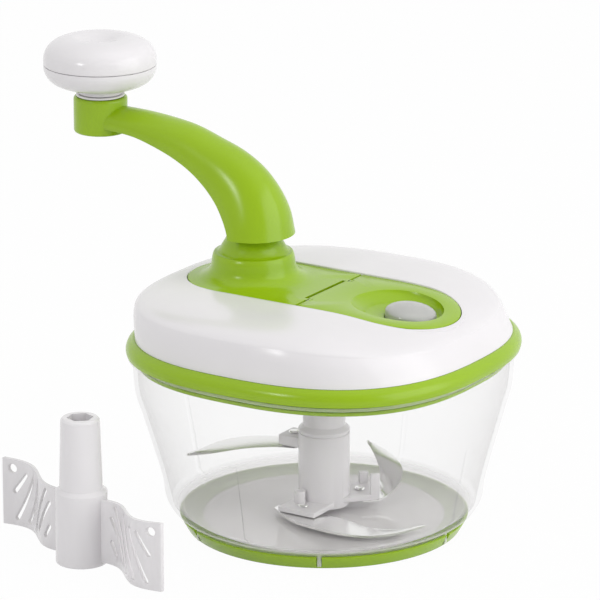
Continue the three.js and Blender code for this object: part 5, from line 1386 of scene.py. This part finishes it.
SLOT_FOOT_SHARES = [(0.28, 0.18), (0.43, 0.18), (0.56, 0.11), (0.72, 0.11), (0.87, 0.12), (0.89, 0.52)]
SLOT_TOP_SHARES = [(0.22, 0.33), (0.22, 0.68), (0.27, 0.85), (0.465, 0.83), (0.65, 0.78), (0.77, 0.79)]
PADDLE_TURN = math.radians(-18)
PADDLE_SHOULDER = 34.5 * MM
PADDLE_BORE = 17.8 * MM
WING_BENDS = 30


def slot_tool(start, end, radius, thick):
    """A tool for a slot with round ends, standing across the wing's plane."""
    slot = rod(radius, -thick, thick, count=16)
    along = Vector(end) - Vector(start)
    turn = math.atan2(along.y, along.x)
    forward = Vector((along.length, 0, 0))
    shape_by(slot, lambda p: p + forward if p.x > MERGE else p)
    slot.data.transform(Matrix.Translation((start[0], start[1], 0)) @ Matrix.Rotation(turn, 4, "Z"))
    return slot


def paddle_wing(sizes, side):
    """One wing: a flat plate with its slots, bent into a wave and stood up."""
    root = sizes.hub_radius / 2
    span = sizes.half_span - root
    half = sizes.wing_thick / 2
    wing = box((0, 0, -half), (span, sizes.wing_height, half))
    shape_by(wing, lambda p: Vector((p.x, p.y * (0.92 if p.x < half else 1), p.z)))
    tools = []
    for foot, top in zip(SLOT_FOOT_SHARES, SLOT_TOP_SHARES):
        ends = [(span * x, sizes.wing_height * y) for x, y in (foot, top)]
        tools.append(slot_tool(*ends, sizes.slot_width / 2, 2 * half))
    inset = 2.2 * sizes.wing_hole
    tools.append(rod(sizes.wing_hole, -2 * half, 2 * half, span - inset, sizes.wing_height - inset, 24))
    wing = cut(wing, *tools)
    modifier = wing.modifiers.new("edges", "BEVEL")
    modifier.width, modifier.segments, modifier.limit_method = 0.25 * MM, 2, "ANGLE"
    pick(wing)
    bpy.ops.object.modifier_apply(modifier=modifier.name)
    bpy.ops.object.mode_set(mode="EDIT")
    for index in range(1, WING_BENDS):
        bpy.ops.mesh.select_all(action="SELECT")
        bpy.ops.mesh.bisect(plane_co=(span * index / WING_BENDS, 0, 0), plane_no=(1, 0, 0))
    closed(wing)

    def stand(p):
        wave = sizes.wing_wave * math.sin(TURN * p.x / span)
        return Vector((side * (root + p.x), side * (wave - p.z * side), sizes.wing_foot + p.y))

    wing = shape_by(wing, stand)
    pick(wing)
    bpy.ops.object.mode_set(mode="EDIT")
    return closed(wing)


def make_paddle(sizes):
    """The paddle: a tube with a hexagon socket between two slotted wings."""
    low, high = BOXES["mixing_paddle"]
    height = high.z
    profile = [(0, 0), (sizes.hub_radius, 0), (sizes.hub_radius, PADDLE_SHOULDER),
               (sizes.upper_radius, PADDLE_SHOULDER + SHOULDER_HEIGHT),
               (sizes.upper_radius - MM, height - MM), (sizes.upper_radius - 2 * MM, height), (0, height)]
    post = turned(softened(profile, HUB_ROUND), count=AROUND_HUB)
    paddle = join(post, paddle_wing(sizes, 1), paddle_wing(sizes, -1))
    bore = rod(PIN_RADIUS + GAP, -MM, PADDLE_BORE)
    paddle = cut(paddle, hex_socket(sizes, height - SOCKET_DEPTH, height), bore)
    place = (low + high) / 2
    paddle.data.transform(Matrix.Translation((place.x, place.y, 0)) @ Matrix.Rotation(PADDLE_TURN, 4, "Z"))
    return paddle


# Operators

class CHOPPER_OT_stage(bpy.types.Operator):
    """Floor, backdrop light, lamps and camera"""

    bl_idname = "chopper.stage"
    bl_label = "Stage"

    def execute(self, context):
        stage = context.scene.chopper_stage
        add_camera(stage)
        add_floor(stage)
        add_lights(stage)
        context.scene.view_settings.view_transform = "Standard"
        return {"FINISHED"}


DIM_SIDE = (0.0, 0.75)  # how squarely a direction faces the camera where reflections start and end to dim
DIM_SHARE = 0.65


def add_camera(stage):
    """The camera at the photograph's viewing angle."""
    a, e = stage.azimuth, stage.elevation
    back = Vector((math.sin(a) * math.cos(e), -math.cos(a) * math.cos(e), math.sin(e)))
    right = Vector((math.cos(a), math.sin(a), 0))
    up = back.cross(right)
    clear_selection()
    bpy.ops.object.camera_add(location=back * stage.distance + right * stage.across + up * stage.up)
    camera = bpy.context.object
    camera.rotation_euler = Matrix((right, up, back)).transposed().to_euler()
    camera.data.lens = stage.lens
    camera.data.sensor_width = 36
    camera.data.clip_end = 100
    bpy.context.scene.camera = camera


def add_floor(stage):
    """A wide pale floor that keeps the chopper's shadow."""
    clear_selection()
    bpy.ops.mesh.primitive_plane_add(size=30)
    floor = bpy.context.object
    floor.name = "studio_floor"
    paint = new_paint("studio_floor_paint")
    rays = paint.add("ShaderNodeLightPath")
    clouds = paint.noise(3, 2)
    paint.done(Base_Color=paint.waver(clouds, stage.floor_colour, 0.99, 1),
               Roughness=0.6)
    lit = paint.add("ShaderNodeEmission", None, {"Color": (1, 1, 1, 1), "Strength": 1.0})[0]
    seen = (rays["Is Camera Ray"] + rays["Is Transmission Ray"] + rays["Is Glossy Ray"]) * 0.97
    matt = Signal(paint, paint.shader.outputs[0])
    shown = paint.add("ShaderNodeMixShader", None, {0: seen, 1: matt, 2: lit})[0]
    paint.feed(paint.tree.nodes["Material Output"].inputs["Surface"], shown)
    floor.data.materials.append(paint.owner)


def add_lamp(name, place, aim, size, power, mirrored):
    """A soft square lamp that points at a place, and that glossy pieces mirror or not."""
    clear_selection()
    bpy.ops.object.light_add(type="AREA", location=place)
    lamp = bpy.context.object
    lamp.name = name
    lamp.data.shape = "SQUARE"
    lamp.data.size = size
    lamp.data.energy = power
    lamp.visible_glossy = mirrored
    lamp.rotation_euler = (Vector(aim) - Vector(place)).to_track_quat("-Z", "Y").to_euler()


def add_lights(stage):
    """Soft studio lamps and the pale world."""
    middle = (-0.02, 0, 0.1)
    add_lamp("window_lamp", (-0.35, -1.6, 0.95), middle, 0.26, stage.window_power, True)
    add_lamp("side_lamp", (1.7, 0.2, 0.7), middle, 1.7, stage.side_power, True)
    add_lamp("top_lamp", (0.5, 0.3, 1.8), middle, 1.2, stage.top_power, False)
    add_world(stage)


def add_world(stage):
    """The pale light from all round, a white backdrop, and a dim side before the chopper for reflections."""
    world = bpy.data.worlds.new("studio_world")
    bpy.context.scene.world = world
    sky = Paint(world, "Generated")
    rays = sky.add("ShaderNodeLightPath")
    sides = sky.add("ShaderNodeSeparateXYZ", None, {"Vector": sky.place})
    ahead = sides["X"] * math.sin(stage.azimuth) - sides["Y"] * math.cos(stage.azimuth)
    dim = sky.ramp(ahead, *DIM_SIDE, 0.0, DIM_SHARE) * rays["Is Glossy Ray"]
    white = (1, 1, 1, 1)
    light = sky.add("ShaderNodeBackground", None, {"Color": white, "Strength": stage.world_strength})[0]
    shown = sky.add("ShaderNodeBackground", None, {"Color": white, "Strength": 1 - dim})[0]
    seen = rays["Is Camera Ray"] + rays["Is Transmission Ray"] + rays["Is Glossy Ray"]
    mixed = sky.add("ShaderNodeMixShader", None, {0: seen, 1: light, 2: shown})[0]
    sky.feed(sky.tree.nodes["World Output"].inputs["Surface"], mixed)


class CHOPPER_OT_bowl(bpy.types.Operator):
    """Bowl, foot ring, pad and centre pin"""

    bl_idname = "chopper.bowl"
    bl_label = "Bowl"

    def execute(self, context):
        sizes = context.scene.chopper_bowl
        finish_piece(make_bowl(sizes), "clear_bowl", "bowl", "bowl", "clear")
        finish_piece(make_foot_ring(sizes), "lime_foot_ring", "bowl", "foot_ring", "green")
        finish_piece(make_foot_pad(sizes), "soft_foot_pad", "bowl", "foot_pad", "pad")
        finish_piece(make_centre_pin(), "cutter_pin", "bowl", "centre_pin", "turned")
        return {"FINISHED"}


class CHOPPER_OT_lid(bpy.types.Operator):
    """Lid rim, shell, deck, feed cap and plug"""

    bl_idname = "chopper.lid"
    bl_label = "Lid"

    def execute(self, context):
        lid, bowl = context.scene.chopper_lid, context.scene.chopper_bowl
        finish_piece(make_lid_rim(lid, bowl), "lime_lid_rim", "lid", "lid_rim", "green")
        shell = make_lid_shell(lid, bowl.squareness)
        finish_piece(shell, "white_lid_shell", "lid", "lid_shell", "white")
        finish_piece(make_deck(lid), "lime_deck", "lid", "deck", "green")
        finish_piece(make_feed_cap(lid), "lime_feed_cap", "cap", "feed_cap", "green")
        finish_piece(make_feed_plug(lid), "frosted_feed_plug", "cap", "feed_plug", "frost")
        return {"FINISHED"}


class CHOPPER_OT_crank(bpy.types.Operator):
    """Crank arm, knob and washer"""

    bl_idname = "chopper.crank"
    bl_label = "Crank"

    def execute(self, context):
        crank = context.scene.chopper_crank
        finish_piece(make_crank_arm(crank), "lime_crank_arm", "crank", "crank_arm", "green")
        finish_piece(make_knob_top(crank), "white_knob_top", "knob", "knob_top", "white")
        finish_piece(make_knob_bottom(crank), "white_knob_bottom", "knob", "knob_bottom", "white")
        finish_piece(make_knob_washer(), "white_knob_washer", "crank", "knob_washer", "white")
        return {"FINISHED"}


class CHOPPER_OT_cutter(bpy.types.Operator):
    """Cutter hub, blades and rivets"""

    bl_idname = "chopper.cutter"
    bl_label = "Cutter"

    def execute(self, context):
        sizes = context.scene.chopper_cutter
        finish_piece(make_cutter_hub(sizes), "white_cutter_hub", "cutter", "cutter_hub", "white")
        for name in BLADES:
            finish_piece(make_blade(sizes, name), f"steel_{name}_blade", "cutter", f"{name}_blade", "blade")
            finish_piece(make_rivet(name), f"steel_{name}_rivet", "cutter", f"{name}_blade_rivet", "turned")
        return {"FINISHED"}


class CHOPPER_OT_paddle(bpy.types.Operator):
    """Mixing paddle"""

    bl_idname = "chopper.paddle"
    bl_label = "Mixing paddle"

    def execute(self, context):
        sizes = context.scene.chopper_cutter
        finish_piece(make_paddle(sizes), "white_mixing_paddle", "paddle", "mixing_paddle", "white")
        return {"FINISHED"}


INNER_FINISHES = {
    "white": ["cover_plate"],
    "seal": ["lid_seal"],
    "nylon": ["tower_bush", "drive_gear", "pinion_spindle", "spindle_bush"],
    "turned": ["cover_screw_1", "cover_screw_2", "cover_screw_3", "cover_screw_4", "hinge_pin", "crank_shaft",
               "shaft_clip", "spindle_clip", "knob_pin"],
}


class CHOPPER_OT_inner_parts(bpy.types.Operator):
    """Finishes of the cover plate, seal, gears, shafts, screws and clips"""

    bl_idname = "chopper.inner_parts"
    bl_label = "Inner parts"

    def execute(self, context):
        for kind, nodes in INNER_FINISHES.items():
            for node in nodes:
                materials = frame["nodes"][node].data.materials
                materials.clear()
                materials.append(look(kind))
        return {"FINISHED"}


STEPS = (CHOPPER_OT_stage, CHOPPER_OT_bowl, CHOPPER_OT_lid, CHOPPER_OT_crank, CHOPPER_OT_cutter,
         CHOPPER_OT_paddle, CHOPPER_OT_inner_parts)
GROUPS = {
    "chopper_bowl": BowlSizes,
    "chopper_lid": LidSizes,
    "chopper_crank": CrankSizes,
    "chopper_cutter": CutterSizes,
    "chopper_finishes": Finishes,
    "chopper_stage": StageSettings,
}


class CHOPPER_PT_panel(bpy.types.Panel):
    """Lists the chopper's pieces and their sizes"""

    bl_idname = "CHOPPER_PT_panel"
    bl_label = "Food Chopper"
    bl_space_type = "VIEW_3D"
    bl_region_type = "UI"
    bl_category = "Chopper"

    def draw(self, context):
        for step in STEPS:
            self.layout.operator(step.bl_idname)
        for name, group in GROUPS.items():
            sizes = getattr(context.scene, name)
            column = self.layout.column(align=True)
            column.label(text=group.__doc__)
            for key in group.__annotations__:
                column.prop(sizes, key)


CLASSES = (*GROUPS.values(), *STEPS, CHOPPER_PT_panel)


def register():
    for entry in CLASSES:
        bpy.utils.register_class(entry)
    for name, group in GROUPS.items():
        setattr(bpy.types.Scene, name, PointerProperty(type=group))


def unregister():
    for name in GROUPS:
        delattr(bpy.types.Scene, name)
    for entry in reversed(CLASSES):
        bpy.utils.unregister_class(entry)


def main():
    """Registers the add-on and makes every piece."""
    register()
    bpy.ops.chopper.stage()
    bpy.ops.chopper.bowl()
    bpy.ops.chopper.lid()
    bpy.ops.chopper.crank()
    bpy.ops.chopper.cutter()
    bpy.ops.chopper.paddle()
    bpy.ops.chopper.inner_parts()


if __name__ == "__main__":
    main()
